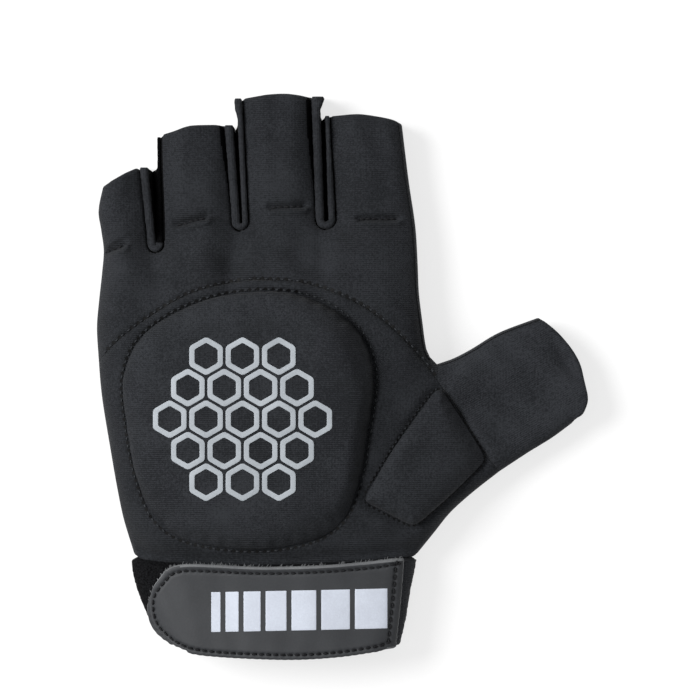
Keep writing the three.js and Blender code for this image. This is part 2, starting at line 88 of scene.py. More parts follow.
# Side lines and seams in plan, from the wrist upwards
LITTLE_SIDE = line(
    [-64.4, -55.3], [-68.1, -42.6], [-72.6, -17.8], [-74.5, -5.4], [-75.5, 7], [-75.9, 15],
    [-75.3, 22.5], [-74.3, 31.8], [-73.8, 38.7], [-74.6, 45], [-75.4, 51], [-73.7, 59.7],
)
INDEX_SIDE = line(
    [29.7, 3.3], [27.4, 5.7], [26.3, 8.6], [25.2, 16.3], [24.1, 25.6], [23.7, 35], [23, 46],
    [21, 59.7], [18.8, 77.7],
)
THUMB_INNER = line([29.7, 3.3], [34.6, 5], [39.9, 7.7], [49.2, 13.2], [61.6, 17.9])
THUMB_OUTER = line([49.2, -29.9], [58.2, -24], [65.5, -19.5], [72, -14.7])
THUMB_HEEL = line([23.7, -55.3], [28.8, -49], [34, -42.6], [40.9, -36.4], [49.2, -29.9])
THUMB_TIP = line([72, -14.7], [75.2, -10.6], [76.2, -5.4], [73.5, 3.5], [68, 11.8], [61.6, 17.9])
THUMB_SEAM = line(
    [49.2, -29.9], [45.8, -26.1], [39.3, -16.2], [34.3, -7.8], [29.9, -1.8], [29.8, 0.8], [29.7, 3.3],
)
BACK_SEAM = line(
    [-75.3, 3.9], [-69.6, 10.2], [-60.3, 17.3], [-46.8, 25.1], [-31.2, 29], [-20.5, 29.2],
    [-9.8, 28], [4.4, 22.6], [15.1, 15.2], [24.6, 5.4], [29.9, -1.8],
)
WRIST_HEM = line([-64.4, -55.3], [-54, -57.4], [-25.2, -58.2], [2.7, -57.2], [23.7, -55.3])
# The y at which these lines meet
WRIST_Y = -55.3
HEEL_Y = -29.9
SEAM_Y = {"left": 3.9, "right": -1.8}
CROTCH_Y = 3.3
BASE_Y = {"little": 39.5, "index": 47.0}
THUMB_END_Y = {"inner": 17.9, "outer": -14.7}

# Open finger ends: the height of both corners, and how far the end bows out between them
FINGERS = [
    {"tipLeft": 59.0, "tipRight": 64.2, "bow": 0.3},
    {"tipLeft": 74.2, "tipRight": 77.3, "bow": 1.5},
    {"tipLeft": 85.6, "tipRight": 86.2, "bow": 1.2},
    {"tipLeft": 80.2, "tipRight": 78.3, "bow": 1.4},
]

# Slots between the fingers, each with the middle lines of the strip that runs round it
SLOT_KEYS = [
    "name", "footY", "leftX", "leftLean", "leftWidth", "rightX", "rightLean", "rightWidth",
    "thinned", "sunk",
]
SLOTS = [
    dict(zip(SLOT_KEYS, values))
    for values in [
        ["little_ring", 40.4, -58.7, -0.105, 2.7, -56.3, -0.01, 2.3, 0.5, 4.5],
        ["ring_middle", 47.3, -32.6, -0.075, 2.75, -29.75, -0.05, 1.85, 0.95, 0],
        ["middle_index", 48.2, -6.6, -0.035, 2.8, -2.9, -0.045, 2.2, 0.65, 0],
    ]
]

# What is sewn on, in plan, each as four sides
BACK_PAD_SIDES = {
    "bottom": line([-59, -43.4], [-50, -50.6], [-27.6, -53.9], [-8, -51], [1.5, -44.6]),
    "top": line([-63.5, 10.8], [-52.5, 18.7], [-38.3, 24.1], [-20.5, 25.9], [-4.8, 22.6], [6.4, 14]),
    "left": line([-59, -43.4], [-64, -28], [-66.6, -11], [-67.4, -1], [-63.5, 10.8]),
    "right": line([1.5, -44.6], [5.8, -33], [9, -14], [10.6, 1.6], [6.4, 14]),
}
THUMB_PAD_SIDES = {
    "bottom": line([6.6, -38.6], [13.9, -42.6], [22.3, -46.7]),
    "top": line([30, -3.4], [37.6, -14.6], [44.9, -26.2]),
    "left": line([6.6, -38.6], [17, -21.6], [30, -3.4]),
    "right": line([22.3, -46.7], [33, -37.6], [44.9, -26.2]),
}
STRAP_SIDES = {
    "bottom": line([-52.1, -83], [-43.3, -85.9], [-18, -87.3], [0, -86.4], [16, -83.9]),
    "top": line([-54.3, -60.8], [-47.7, -58.8], [-24, -59.6], [-2, -58.9], [18.6, -56.9]),
    "left": line([-52.1, -83], [-57, -78.4], [-58.9, -73.2], [-58.4, -67.5], [-54.3, -60.8]),
    "right": line([16, -83.9], [17.5, -70], [18.6, -56.9]),
}
CUFF = line(
    [-90, -53, 16.8], [-84.3, -55.5, 18], [-76.5, -59.4, 19.9], [-67.4, -63.1, 21.4],
    [-60, -65, 22.9], [-54, -64.6, 23.8],
)

# Short stitched pleats at the base of each finger
PLEATS = [
    line([-73.2, 37.8], [-67.5, 39.9]),
    line([-50.7, 46.2], [-42.2, 48.3]),
    line([-21.9, 51.5], [-11.9, 52.0]),
    line([5.5, 48.0], [16.9, 48.1]),
]


# Curves
def mix(a, b, t):
    return a + (b - a) * t


def smoothstep(value, low, high):
    t = np.clip((value - low) / (high - low), 0, 1)
    return t * t * (3 - 2 * t)


def bell(distance, width):
    """A soft hump, 1 in its middle."""
    return np.exp(-((distance / width) ** 2))


def unit(vectors):
    return vectors / np.linalg.norm(vectors, axis=-1, keepdims=True)


def cubic(start, end, start_slope, end_slope, t):
    """A smooth curve from start to end. The slopes are for a whole step of t."""
    leaving = (1 + 2 * t) * (1 - t) ** 2 * start + t * (1 - t) ** 2 * start_slope
    return leaving + (3 - 2 * t) * t**2 * end - (1 - t) * t**2 * end_slope


def column_at(ys, values, y):
    """A column of a table at y, as a smooth curve through its rows."""
    last = len(ys) - 1
    k = np.clip(np.searchsorted(ys, y, side="left") - 1, 0, last - 1)
    before, after = np.maximum(k - 1, 0), np.minimum(k + 2, last)
    step = ys[k + 1] - ys[k]
    start = (values[k + 1] - values[before]) / (ys[k + 1] - ys[before]) * step
    end = (values[after] - values[k]) / (ys[after] - ys[k]) * step
    return cubic(values[k], values[k + 1], start, end, np.clip((y - ys[k]) / step, 0, 1))


def x_at(curve, y):
    return column_at(curve[:, 1], curve[:, 0], np.asarray(y, float))


def along(curve, from_y, to_y):
    """A stretch of a side line or seam, as a function of the share of its height."""

    def at(share):
        y = mix(from_y, to_y, np.asarray(share, float))
        return np.stack([x_at(curve, y), y], -1)

    return at


def lengths(curve):
    """How far along a line in plan each of its points lies."""
    steps = np.hypot(*np.diff(curve, axis=0).T)
    return np.concatenate([[0], np.cumsum(steps)])


def walk(curve):
    """The length of a line in plan, and a function that gives the points at lengths along it."""
    length = lengths(curve)

    def at(place):
        return np.stack([np.interp(place, length, curve[:, axis]) for axis in (0, 1)], -1)

    return length[-1], at


CURVE_CELLS = 60  # in each stretch between two points


def through(points):
    """A smooth curve through points, as a function of the share of its length."""
    cells = len(points) - 1
    t = np.linspace(0, cells, CURVE_CELLS * cells + 1)
    k = np.minimum(t.astype(int), cells - 1)
    before, after = np.maximum(k - 1, 0), np.minimum(k + 2, cells)
    start, end = (points[k + 1] - points[before]) / 2, (points[after] - points[k]) / 2
    total, at = walk(cubic(points[k], points[k + 1], start, end, (t - k)[:, None]))
    return lambda share: at(np.asarray(share, float) * total)


def joined(first, second, share_of_first):
    """Two curves one after the other, as one."""
    def at(share):
        share = np.asarray(share, float)
        early = (share < share_of_first)[..., None]
        a = first(np.clip(share / share_of_first, 0, 1))
        b = second(np.clip((share - share_of_first) / (1 - share_of_first), 0, 1))
        return np.where(early, a, b)

    return at


def patch(bottom, top, left, right):
    """A four-sided patch between curves: a grid of points for columns u and rows v."""

    def grid(us, vs):
        u, v = np.meshgrid(us, vs)
        u, v = u[..., None], v[..., None]
        points = left(vs)[:, None] * (1 - u) + right(vs)[:, None] * u
        points = points + bottom(us)[None] * (1 - v) + top(us)[None] * v
        points = points - bottom(0) * (1 - u) * (1 - v) - bottom(1) * u * (1 - v)
        return points - top(0) * (1 - u) * v - top(1) * u * v

    return grid


def patch_through(sides):
    return patch(*(through(sides[key]) for key in ("bottom", "top", "left", "right")))


PACKING = 0.6  # how far packed shares go from even ones


def spread(cells, packed=None):
    """Shares from 0 to 1, even or packed towards both ends or the last one."""
    t = np.linspace(0, 1, cells + 1)
    if packed == "both":
        return mix(t, (1 - np.cos(np.pi * t)) / 2, PACKING)
    if packed == "last":
        return mix(t, np.sin(np.pi * t / 2), PACKING)
    return t


def nearest(curve, points):
    """The distance from points to a line in plan, the side that they are on, and the place along it."""
    flat = points[..., :2].reshape(-1, 2)
    best = np.full(len(flat), np.inf)
    side, place = np.zeros((2, len(flat)))
    done = 0.0
    for a, b in zip(curve[:-1], curve[1:]):
        step = b - a
        length = math.hypot(*step)
        off = flat - a
        t = np.clip((off @ step) / length**2, 0, 1)
        rest = off - t[:, None] * step
        distance = np.hypot(rest[:, 0], rest[:, 1])
        near = distance < best
        best[near] = distance[near]
        side[near] = np.sign(step[0] * off[near, 1] - step[1] * off[near, 0])
        place[near] = done + t[near] * length
        done += length
    return [values.reshape(points.shape[:-1]) for values in (best, side, place)]


sampled = {
    name: curve(np.linspace(0, 1, 121))
    for name, curve in {
        "little": along(LITTLE_SIDE, WRIST_Y, FINGERS[0]["tipLeft"]),
        "index": along(INDEX_SIDE, CROTCH_Y, FINGERS[3]["tipRight"]),
        "thumb_inner": along(THUMB_INNER, CROTCH_Y, THUMB_END_Y["inner"]),
        "thumb_outer": along(THUMB_OUTER, HEEL_Y, THUMB_END_Y["outer"]),
        "heel": along(THUMB_HEEL, WRIST_Y, HEEL_Y),
        "arch": through(BACK_SEAM),
        "thumb_seam": along(THUMB_SEAM, HEEL_Y, CROTCH_Y),
        "hem": through(WRIST_HEM),
    }.items()
}
SIDES = ["little", "index", "thumb_inner", "thumb_outer", "heel"]


SIDE_CELLS = 40


def outline_of(sides):
    """The closed outline of a four-sided piece, anticlockwise."""
    shares = np.linspace(0, 1, SIDE_CELLS + 1)
    curves = {key: through(points)(shares) for key, points in sides.items()}
    loop = [curves["bottom"], curves["right"], curves["top"][::-1], curves["left"][::-1]]
    return np.vstack([part[:-1] for part in loop] + [loop[0][:1]])


def smooth_outline(loop, turns):
    """A closed outline with its corners eased."""
    points = loop[:-1]
    for _ in range(turns):
        points = (np.roll(points, 1, axis=0) + 2 * points + np.roll(points, -1, axis=0)) / 4
    return np.vstack([points, points[:1]])


def sides_of(loop):
    """The four sides of a closed outline that outline_of made."""
    parts = [loop[k * SIDE_CELLS:(k + 1) * SIDE_CELLS + 1] for k in range(4)]
    return {"bottom": parts[0], "right": parts[1], "top": parts[2][::-1], "left": parts[3][::-1]}


# The form of the hand
def rounding(distance, radius):
    return np.sqrt(1 - (1 - np.clip(distance / radius, 0, 1)) ** 2)


def side_profile(distance, radius):
    """The back's side, which stays flat longer than a circle before it turns down."""
    share = 1 - np.clip(distance / radius, 0, 1)
    return (1 - share**SIDE_POWER) ** (1 / SIDE_POWER)


def arm(slot, side, y):
    """The middle line of the strip on one side of a slot."""
    return slot[side + "X"] + slot[side + "Lean"] * np.maximum(y - slot["footY"], 0)


def right_width(slot, y):
    """The width of a slot's right roll, which thins out towards its end."""
    far = smoothstep(y, slot["footY"] + 4, slot["footY"] + 28)
    return slot["rightWidth"] * mix(1, slot["thinned"], far)


def valley_drop(x, y):
    """How far the back falls towards the slots between the fingers."""
    drops = []
    for slot in SLOTS:
        away = np.maximum(np.maximum(arm(slot, "left", y) - x, x - arm(slot, "right", y)), 0)
        share = np.maximum(1 - away / VALLEY["reach"], 0) ** 2
        foot = slot["footY"]
        drops.append(VALLEY["depth"] * share * smoothstep(y, foot - VALLEY["below"], foot + VALLEY["above"]))
    return np.maximum.reduce(drops)


def form_top(x, y):
    """The back of the hand without the thumb."""
    left, right, top, drop = (column_at(HAND[:, 0], HAND[:, k], y) for k in range(1, 5))
    across = (2 * x - left - right) / (right - left)
    return top - drop * across**2


ON_LINE = 0.06  # points nearer than this to a side line count as on it


def side_distance(points):
    nearest_side = np.minimum.reduce([nearest(sampled[name], points)[0] for name in SIDES])
    return np.maximum(nearest_side - ON_LINE, 0)


def back_rise(x, y):
    """The hand and the thumb in one, over the side seams."""
    a = form_top(x, y) - valley_drop(x, y)
    blend = np.maximum(THUMB_BLEND - np.abs(a - THUMB_TOP), 0) ** 2 / (4 * THUMB_BLEND)
    return np.maximum(a, THUMB_TOP) + blend - SEAM_HEIGHT


def side_round(rise):
    return SIDE_ROUND["share"] * rise + SIDE_ROUND["least"]


def back_height(points):
    rise = back_rise(points[..., 0], points[..., 1])
    height = side_profile(side_distance(points), side_round(rise))
    return SEAM_HEIGHT + SIDE_SEAM + (rise - SIDE_SEAM) * height


def palm_height(points):
    fall = SEAM_HEIGHT * rounding(side_distance(points), PALM_ROUND)
    return np.maximum(SEAM_HEIGHT - SIDE_SEAM - fall, 0)


def cuff_sides(y, depth=0.0):
    """Both sides of the wristband, drawn in by a depth where the body covers it."""
    left, right = (column_at(CUFF[:, 0], CUFF[:, k], y) for k in (1, 2))
    return left + depth, right - depth


def cuff_level(x, y, depth=0.0, underside=False):
    left, right = cuff_sides(y, depth)
    distance = np.minimum(x - left, right - x)
    if underside:
        return SEAM_HEIGHT + (depth - SEAM_HEIGHT) * rounding(distance, PALM_ROUND)
    rise = form_top(x, y) - depth - SEAM_HEIGHT
    return SEAM_HEIGHT + rise * rounding(distance, side_round(rise))


def cuff_height(points):
    return cuff_level(points[..., 0], points[..., 1])


def lifted(plan, height):
    """A grid in plan lifted onto a surface. A point that is nan stays missing."""
    grid = np.full(plan.shape[:2] + (3,), np.nan)
    shown = ~np.isnan(plan[..., 0])
    grid[shown] = np.concatenate([plan[shown], height(plan[shown])[:, None]], -1)
    return grid


SLOPE_STEP = 0.5


def above(height, plan, distance):
    """A grid at a distance above a surface, along its normal."""
    slopes = []
    for step in np.eye(2) * SLOPE_STEP:
        slopes.append((height(plan + step) - height(plan - step)) / (2 * SLOPE_STEP))
    normal = unit(np.stack([-slopes[0], -slopes[1], np.ones_like(slopes[0])], -1))
    return lifted(plan, height) + normal * np.asarray(distance)[..., None]


# Grids of the panels, in plan
def shared_end(k):
    """How far up both fingers beside a slot go."""
    return min(FINGERS[k]["tipRight"], FINGERS[k + 1]["tipLeft"])


def half_gap(k, y):
    """Half the distance between the middle lines of a slot's two rolls."""
    return (arm(SLOTS[k], "right", y) - arm(SLOTS[k], "left", y)) / 2


def foot_radius(slot):
    return (slot["rightX"] - slot["leftX"]) / 2


def foot_arc(slot, share, out=0.0):
    """The half circle of the strip round a slot's foot, or one further out."""
    angle = np.pi * (1 + share)
    radius = foot_radius(slot) + out
    return slot["leftX"] + foot_radius(slot) + radius * np.cos(angle), slot["footY"] + radius * np.sin(angle)


def finger_edges(k, y, reach):
    """Both sides of a finger. Reach gives how far a side lies from the roll's middle line."""
    def gap(k):
        return half_gap(k, y) * (1 - smoothstep(y, shared_end(k) - 1.5, shared_end(k) - 0.2))

    left, right = x_at(LITTLE_SIDE, y), x_at(INDEX_SIDE, y)
    if k > 0:
        left = arm(SLOTS[k - 1], "right", y) + reach(right_width(SLOTS[k - 1], y), gap(k - 1))
    if k < 3:
        right = arm(SLOTS[k], "left", y) - reach(SLOTS[k]["leftWidth"], gap(k))
    return left, right


def knuckle_left(y):
    return x_at(LITTLE_SIDE, y)


def knuckle_right(y):
    return np.where(y < CROTCH_Y, x_at(THUMB_SEAM, y), x_at(INDEX_SIDE, y))


arch = through(BACK_SEAM)


def arch_shares(shares):
    """Where columns at shares of the width meet the arched seam, as shares of the seam's length."""
    low, high = np.zeros_like(shares), np.ones_like(shares)
    for _ in range(24):
        middle = (low + high) / 2
        x, y = np.moveaxis(arch(middle), -1, 0)
        before = x < mix(knuckle_left(y), knuckle_right(y), shares)
        low, high = np.where(before, middle, low), np.where(before, high, middle)
    return np.where(shares <= 0, 0, np.where(shares >= 1, 1, low))


FOOT_CELLS = 8


def finger_columns(reach, cells):
    """The columns of a panel with fingers: a block over each finger, and some round the foot of each slot.
    Each has x and y at the finger's base, the finger's number, the share across it and the tip's y."""
    columns = []
    for k, finger in enumerate(FINGERS):
        start_y = SLOTS[k - 1]["footY"] if k > 0 else BASE_Y["little"]
        end_y = SLOTS[k]["footY"] if k < 3 else BASE_Y["index"]
        for share in spread(cells[k], "both"):
            y = mix(start_y, end_y, share)
            left, right = finger_edges(k, np.array(y), reach)
            tip = mix(finger["tipLeft"], finger["tipRight"], share) + finger["bow"] * 4 * share * (1 - share)
            columns.append([float(mix(left, right, share)), y, k, share, tip - ROLL])
        if k == len(SLOTS):
            break
        slot = SLOTS[k]
        for share in np.arange(1, FOOT_CELLS) / FOOT_CELLS:
            out = reach(mix(slot["leftWidth"], slot["rightWidth"], share), foot_radius(slot))
            columns.append([*foot_arc(slot, share, out), -1, share, np.nan])
    columns = np.array(columns)
    x, y = columns[:, 0], columns[:, 1]
    shares = (x - knuckle_left(y)) / (knuckle_right(y) - knuckle_left(y))
    return columns, shares


def knuckle_rows(columns, shares, rows, seam_step):
    """Rows from just past the arched seam up to the fingers' bases."""
    start = arch(arch_shares(shares))[:, 1] + seam_step
    y = mix(start[None], columns[None, :, 1], np.asarray(rows)[:, None])
    return np.stack([mix(knuckle_left(y), knuckle_right(y), shares[None]), y], -1)


def tip_rows(columns, rows, reach):
    """Rows from the fingers' bases up to their open ends."""
    y = mix(columns[None, :, 1], columns[None, :, 4], np.asarray(rows)[:, None])
    x = np.full_like(y, np.nan)
    for k in range(4):
        own = columns[:, 2] == k
        left, right = finger_edges(k, y[:, own], reach)
        x[:, own] = mix(left, right, columns[None, own, 3])
    return np.stack([x, y], -1)


ARCH_SHARE = 0.8  # of the hand's upper side lies on the arched seam, and the rest on the thumb's
hand_plan = patch(
    through(WRIST_HEM),
    joined(arch, along(THUMB_SEAM, SEAM_Y["right"], HEEL_Y), ARCH_SHARE),
    along(LITTLE_SIDE, WRIST_Y, SEAM_Y["left"]),
    along(THUMB_HEEL, WRIST_Y, HEEL_Y),
)
thumb_plan = patch(
    along(THUMB_OUTER, HEEL_Y, THUMB_END_Y["outer"]),
    along(THUMB_INNER, CROTCH_Y, THUMB_END_Y["inner"]),
    along(THUMB_SEAM, HEEL_Y, CROTCH_Y),
    along(THUMB_TIP, THUMB_END_Y["outer"], THUMB_END_Y["inner"]),
)


# Meshes
def normals_of(points, quads):
    """The normal at each point, from the faces round it."""
    a, b, c, d = (points[quads[:, k]] for k in range(4))
    across = np.cross(c - a, d - b)
    normals = np.zeros_like(points)
    for k in range(4):
        np.add.at(normals, quads[:, k], across)
    return normals / np.maximum(np.linalg.norm(normals, axis=1, keepdims=True), 1e-12)


def grid_quads(grid, closed):
    """Number the points of a grid, and list its cells. A point that is nan is missing."""
    present = ~np.isnan(grid[..., 0])
    number = np.full(present.shape, -1)
    number[present] = np.arange(present.sum())
    if closed:
        number = np.concatenate([number, number[:, :1]], axis=1)
    corners = [number[:-1, :-1], number[:-1, 1:], number[1:, 1:], number[1:, :-1]]
    quads = np.stack(corners, -1).reshape(-1, 4)
    return grid[present], quads[(quads >= 0).all(axis=1)]


def rim_edges(quads, count):
    """The edges that only one cell has, in that cell's direction."""
    edges = np.vstack([quads[:, [k, (k + 1) % 4]] for k in range(4)])
    forward, backward = edges[:, 0] * count + edges[:, 1], edges[:, 1] * count + edges[:, 0]
    return edges[~np.isin(forward, backward)]


def loft_faces(count, around, start=0):
    """The faces of a tube through loops of points, numbered from start, with both ends closed."""
    number = start + np.arange(count * around).reshape(count, around)
    after = np.roll(number, -1, axis=1)
    sides = np.stack([number[:-1], after[:-1], after[1:], number[1:]], -1).reshape(-1, 4)
    return sides.tolist() + [number[0][::-1].tolist(), number[-1].tolist()]


def mesh_object(name, points, faces, materials, marks=None):
    mesh = bpy.data.meshes.new(name)
    mesh.from_pydata((points * MM).tolist(), [], faces)
    for material in materials:
        mesh.materials.append(material)
    mesh.polygons.foreach_set("use_smooth", np.full(len(mesh.polygons), True))
    made = bpy.data.objects.new(name, mesh)
    if marks is not None:
        set_materials(made, marks)
    mesh.update()
    bpy.context.scene.collection.objects.link(made)
    return made


def relief(grid, amount, closed=False):
    """A grid moved along its own normals. The amount is a function of its points."""
    points, quads = grid_quads(grid, closed)
    points = points + normals_of(points, quads) * amount(points)[:, None]
    result = grid.copy()
    result[~np.isnan(grid[..., 0])] = points
    return result


RIM_ANGLES = [36, 72, 108, 144]  # of the rings of points between a sheet's two faces
RIM_BANDS = len(RIM_ANGLES) + 1


def sheet(name, grid, wall, materials, roll=None, closed=False):
    """Cloth with a thickness, from a grid of points on its outer face, with rounded edges.
    The function roll says how much an edge point's edge is rounded, from 0 to 1."""
    outer, quads = grid_quads(grid, closed)
    count = len(outer)
    normals = normals_of(outer, quads)
    inner = outer - normals * wall
    rim = rim_edges(quads, count)
    on_rim = np.unique(rim)
    outwards = np.zeros_like(outer)
    step = outer[rim[:, 1]] - outer[rim[:, 0]]
    for end in (0, 1):
        np.add.at(outwards, rim[:, end], np.cross(step, normals[rim[:, end]]))
    outwards /= np.maximum(np.linalg.norm(outwards, axis=1, keepdims=True), 1e-12)
    amount = roll(outer) if roll else np.ones(count)
    rings, points = [np.arange(count)], [outer]
    total = count
    for angle in np.radians(RIM_ANGLES):
        ring = np.full(count, -1)
        ring[on_rim] = total + np.arange(len(on_rim))
        middle, half = (outer + inner) / 2, (outer - inner) / 2
        reach = outwards * (wall / 2 * math.sin(angle) * amount)[:, None]
        points.append((middle + half * math.cos(angle) + reach)[on_rim])
        rings.append(ring)
        total += len(on_rim)
    rings.append(total + np.arange(count))
    points.append(inner)
    faces = [quads, quads[:, ::-1] + total]
    for above_ring, below_ring in zip(rings[:-1], rings[1:]):
        a, b = rim[:, 0], rim[:, 1]
        faces.append(np.stack([above_ring[b], above_ring[a], below_ring[a], below_ring[b]], -1))
    return mesh_object(name, np.vstack(points), np.vstack(faces).tolist(), materials)


def face_centres(piece):
    """The x, y and z of the middles of a piece's faces, in millimetres."""
    centres = np.zeros(3 * len(piece.data.polygons))
    piece.data.polygons.foreach_get("center", centres)
    return centres.reshape(-1, 3).T / MM


def set_materials(piece, marks):
    """Gives each face the material with the number that marks says."""
    piece.data.polygons.foreach_set("material_index", np.asarray(marks, np.int32))


def surface_of(piece):
    """A piece's faces, for finding points on it."""
    mesh = piece.data
    points = [vertex.co.copy() for vertex in mesh.vertices]
    return BVHTree.FromPolygons(points, [list(face.vertices) for face in mesh.polygons])


def drop(trees, plan):
    """Where points in plan meet the top of some pieces, with the normals there, in millimetres."""
    places, normals = [], []
    for x, y in plan:
        found = []
        for tree in trees:
            place, normal, _, _ = tree.ray_cast(Vector((x * MM, y * MM, 0.1)), Vector((0, 0, -1)))
            if place is not None:
                found.append((place.z, place, normal))
        if not found:
            places.append([x, y, np.nan])
            normals.append([0, 0, 1])
            continue
        _, place, normal = max(found, key=lambda item: item[0])
        places.append(list(place / MM))
        normals.append(list(normal))
    return np.array(places), np.array(normals)


def finish_piece(piece, nodes=()):
    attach(piece, "root")
    if nodes:
        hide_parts(*nodes)
    return piece


# Materials
class Nodes:
    """A new material with a main shader, and short ways to add nodes to it."""

    def __init__(self, name, color, roughness, sheen=0.0, sheen_roughness=0.5, specular=0.5):
        self.material = bpy.data.materials.new(name)
        self.material.use_nodes = True
        self.tree = self.material.node_tree
        self.shader = self.tree.nodes["Principled BSDF"]
        self.shader.inputs["Base Color"].default_value = (*color, 1)
        self.shader.inputs["Roughness"].default_value = roughness
        self.shader.inputs["Sheen Weight"].default_value = sheen
        self.shader.inputs["Sheen Roughness"].default_value = sheen_roughness
        self.shader.inputs["Specular IOR Level"].default_value = specular
        self.place = self.add("ShaderNodeTexCoord").outputs["Object"]

    def add(self, kind, inputs=None, **settings):
        node = self.tree.nodes.new(kind)
        for key, value in settings.items():
            setattr(node, key, value)
        for key, value in (inputs or {}).items():
            self.set(node.inputs[key], value)
        return node

    def set(self, socket, value):
        if isinstance(value, bpy.types.NodeSocket):
            self.tree.links.new(value, socket)
        else:
            socket.default_value = value

    def noise(self, scale, detail=2.0, roughness=0.5):
        inputs = {"Vector": self.place, "Scale": scale, "Detail": detail, "Roughness": roughness}
        return self.add("ShaderNodeTexNoise", inputs).outputs["Fac"]

    def math(self, operation, a, b=0.0, c=0.0):
        node = self.add("ShaderNodeMath", operation=operation)
        for socket, value in zip(node.inputs, (a, b, c)):
            self.set(socket, value)
        return node.outputs[0]

    def ramp(self, value, low, high, to_low=0.0, to_high=1.0):
        inputs = {"Value": value, "From Min": low, "From Max": high, "To Min": to_low, "To Max": to_high}
        return self.add("ShaderNodeMapRange", inputs).outputs["Result"]

    def color(self, share, dark, light):
        node = self.add("ShaderNodeMix", data_type="RGBA")
        self.set(node.inputs["Factor"], share)
        # A Mix node also has sockets for numbers and vectors, and these are the ones for colours
        node.inputs[6].default_value = (*dark, 1)
        node.inputs[7].default_value = (*light, 1)
        self.set(self.shader.inputs["Base Color"], node.outputs[2])

    def bump(self, height, distance, strength=1.0):
        node = self.add("ShaderNodeBump", {"Height": height, "Distance": distance, "Strength": strength})
        self.set(self.shader.inputs["Normal"], node.outputs["Normal"])


RIB_PITCH = 0.62  # millimetres between two ribs of the knit


def knit(name, dark, light, rib_angle=0.0, rib_share=1.0):
    """Ribbed stretch knit: fine ribs, with the loops along them and a little fuzz."""
    nodes = Nodes(name, light, 0.9, sheen=0.03, sheen_roughness=0.45, specular=0.12)
    axes = nodes.add("ShaderNodeSeparateXYZ", {"Vector": nodes.place})
    turned = nodes.math(
        "ADD",
        nodes.math("MULTIPLY", axes.outputs["Y"], math.cos(rib_angle)),
        nodes.math("MULTIPLY", axes.outputs["X"], math.sin(rib_angle)),
    )
    shifted = nodes.math("MULTIPLY_ADD", nodes.noise(180), 0.00045, turned)
    turns = 2 * math.pi / (RIB_PITCH * MM)
    worn = nodes.ramp(nodes.noise(110, 3, 0.6), 0.35, 0.65, 0.15, 1.0)
    plain_rib = nodes.math("SINE", nodes.math("MULTIPLY", shifted, turns))
    rib = nodes.math("MULTIPLY", nodes.math("MULTIPLY", plain_rib, worn), rib_share)
    loop = nodes.math("SINE", nodes.math("MULTIPLY", axes.outputs["X"], turns * 1.3))
    woven = nodes.math("MULTIPLY_ADD", loop, 0.25, rib)
    fuzz = nodes.noise(2600, 3, 0.6)
    nodes.bump(nodes.math("MULTIPLY_ADD", fuzz, 1.3, woven), 0.00009, 0.95)
    fleck, patches = nodes.noise(1500, 2, 0.7), nodes.noise(45, 4, 0.6)
    shade = nodes.math("MULTIPLY_ADD", fleck, 0.9, nodes.math("MULTIPLY", patches, 0.6))
    shade = nodes.math("MULTIPLY_ADD", rib, 0.15, shade)
    nodes.color(nodes.ramp(shade, 0.63, 0.87), dark, light)
    return nodes.material


def suede(name, dark, light):
    """Soft brushed palm cloth."""
    nodes = Nodes(name, light, 0.85, sheen=0.05, specular=0.15)
    nodes.bump(nodes.noise(2200, 5, 0.65), 0.00009, 0.7)
    nodes.color(nodes.ramp(nodes.noise(110, 5, 0.65), 0.3, 0.7), dark, light)
    return nodes.material


def loop_pile(name, dark, light):
    """Black loop pile of a hook-and-loop band. The same look also serves as the near-black painted shade in
    creases and slots.
    """
    nodes = Nodes(name, light, 1.0, specular=0.05)
    tufts = nodes.noise(1500, 4, 0.75)
    curls = nodes.add("ShaderNodeTexVoronoi", {"Vector": nodes.place, "Scale": 1900.0}).outputs["Distance"]
    nodes.bump(nodes.math("ADD", tufts, curls), 0.00035)
    nodes.color(nodes.ramp(tufts, 0.35, 0.7), dark, light)
    return nodes.material


def coated(name, dark, light, roughness, grain=1700, depth=0.00006):
    """Coated or printed cloth with a fine grain."""
    nodes = Nodes(name, light, roughness, specular=0.35)
    fine = nodes.noise(grain, 4, 0.65)
    nodes.bump(fine, depth, 0.8)
    shade = nodes.math("MULTIPLY_ADD", fine, 0.7, nodes.noise(70, 4, 0.6))
    nodes.color(nodes.ramp(shade, 0.6, 1.1), dark, light)
    return nodes.material


def thread(name, dark, light):
    """Twisted thread."""
    nodes = Nodes(name, light, 0.7, specular=0.2)
    twist = nodes.noise(3000)
    nodes.bump(twist, 0.00004, 0.8)
    nodes.color(nodes.ramp(twist, 0.35, 0.65), dark, light)
    return nodes.material


BACK_CLOTH = knit("back_knit", (0.0110, 0.0121, 0.0140), (0.0228, 0.0246, 0.0282))
PAD_CLOTH = knit("pad_knit", (0.0122, 0.0133, 0.0154), (0.0255, 0.0275, 0.0315))
THUMB_CLOTH = knit("thumb_knit", (0.0127, 0.0139, 0.0161), (0.0268, 0.0288, 0.0330), -0.5, 0.6)
PALM_CLOTH = suede("palm_suede", (0.012, 0.013, 0.015), (0.022, 0.024, 0.027))
STRIP_CLOTH = knit("strip_knit", (0.0115, 0.0126, 0.0146), (0.0235, 0.0253, 0.0290), 1.57, 0.25)
# Near-black material for painted shade: crease faces beside the strips, the strips' walls in the slots and
# the sunk roll
SHADE_BLACK = loop_pile("painted_shade_black", (0.0012, 0.0012, 0.0014), (0.003, 0.0031, 0.0035))
LOOP = loop_pile("black_loop_pile", (0.001, 0.001, 0.0012), (0.0125, 0.013, 0.0143))
COATED = coated("coated_tab", (0.0238, 0.0255, 0.0285), (0.0338, 0.0360, 0.0398), 0.6)
CUT_EDGE = coated("cut_edge", (0.09, 0.093, 0.098), (0.17, 0.175, 0.18), 0.9, grain=2600, depth=0.0001)
PRINT = coated("grey_print", (0.28, 0.305, 0.33), (0.37, 0.4, 0.43), 0.6)
TAB_PRINT = coated("pale_print", (0.47, 0.5, 0.57), (0.57, 0.61, 0.69), 0.5)
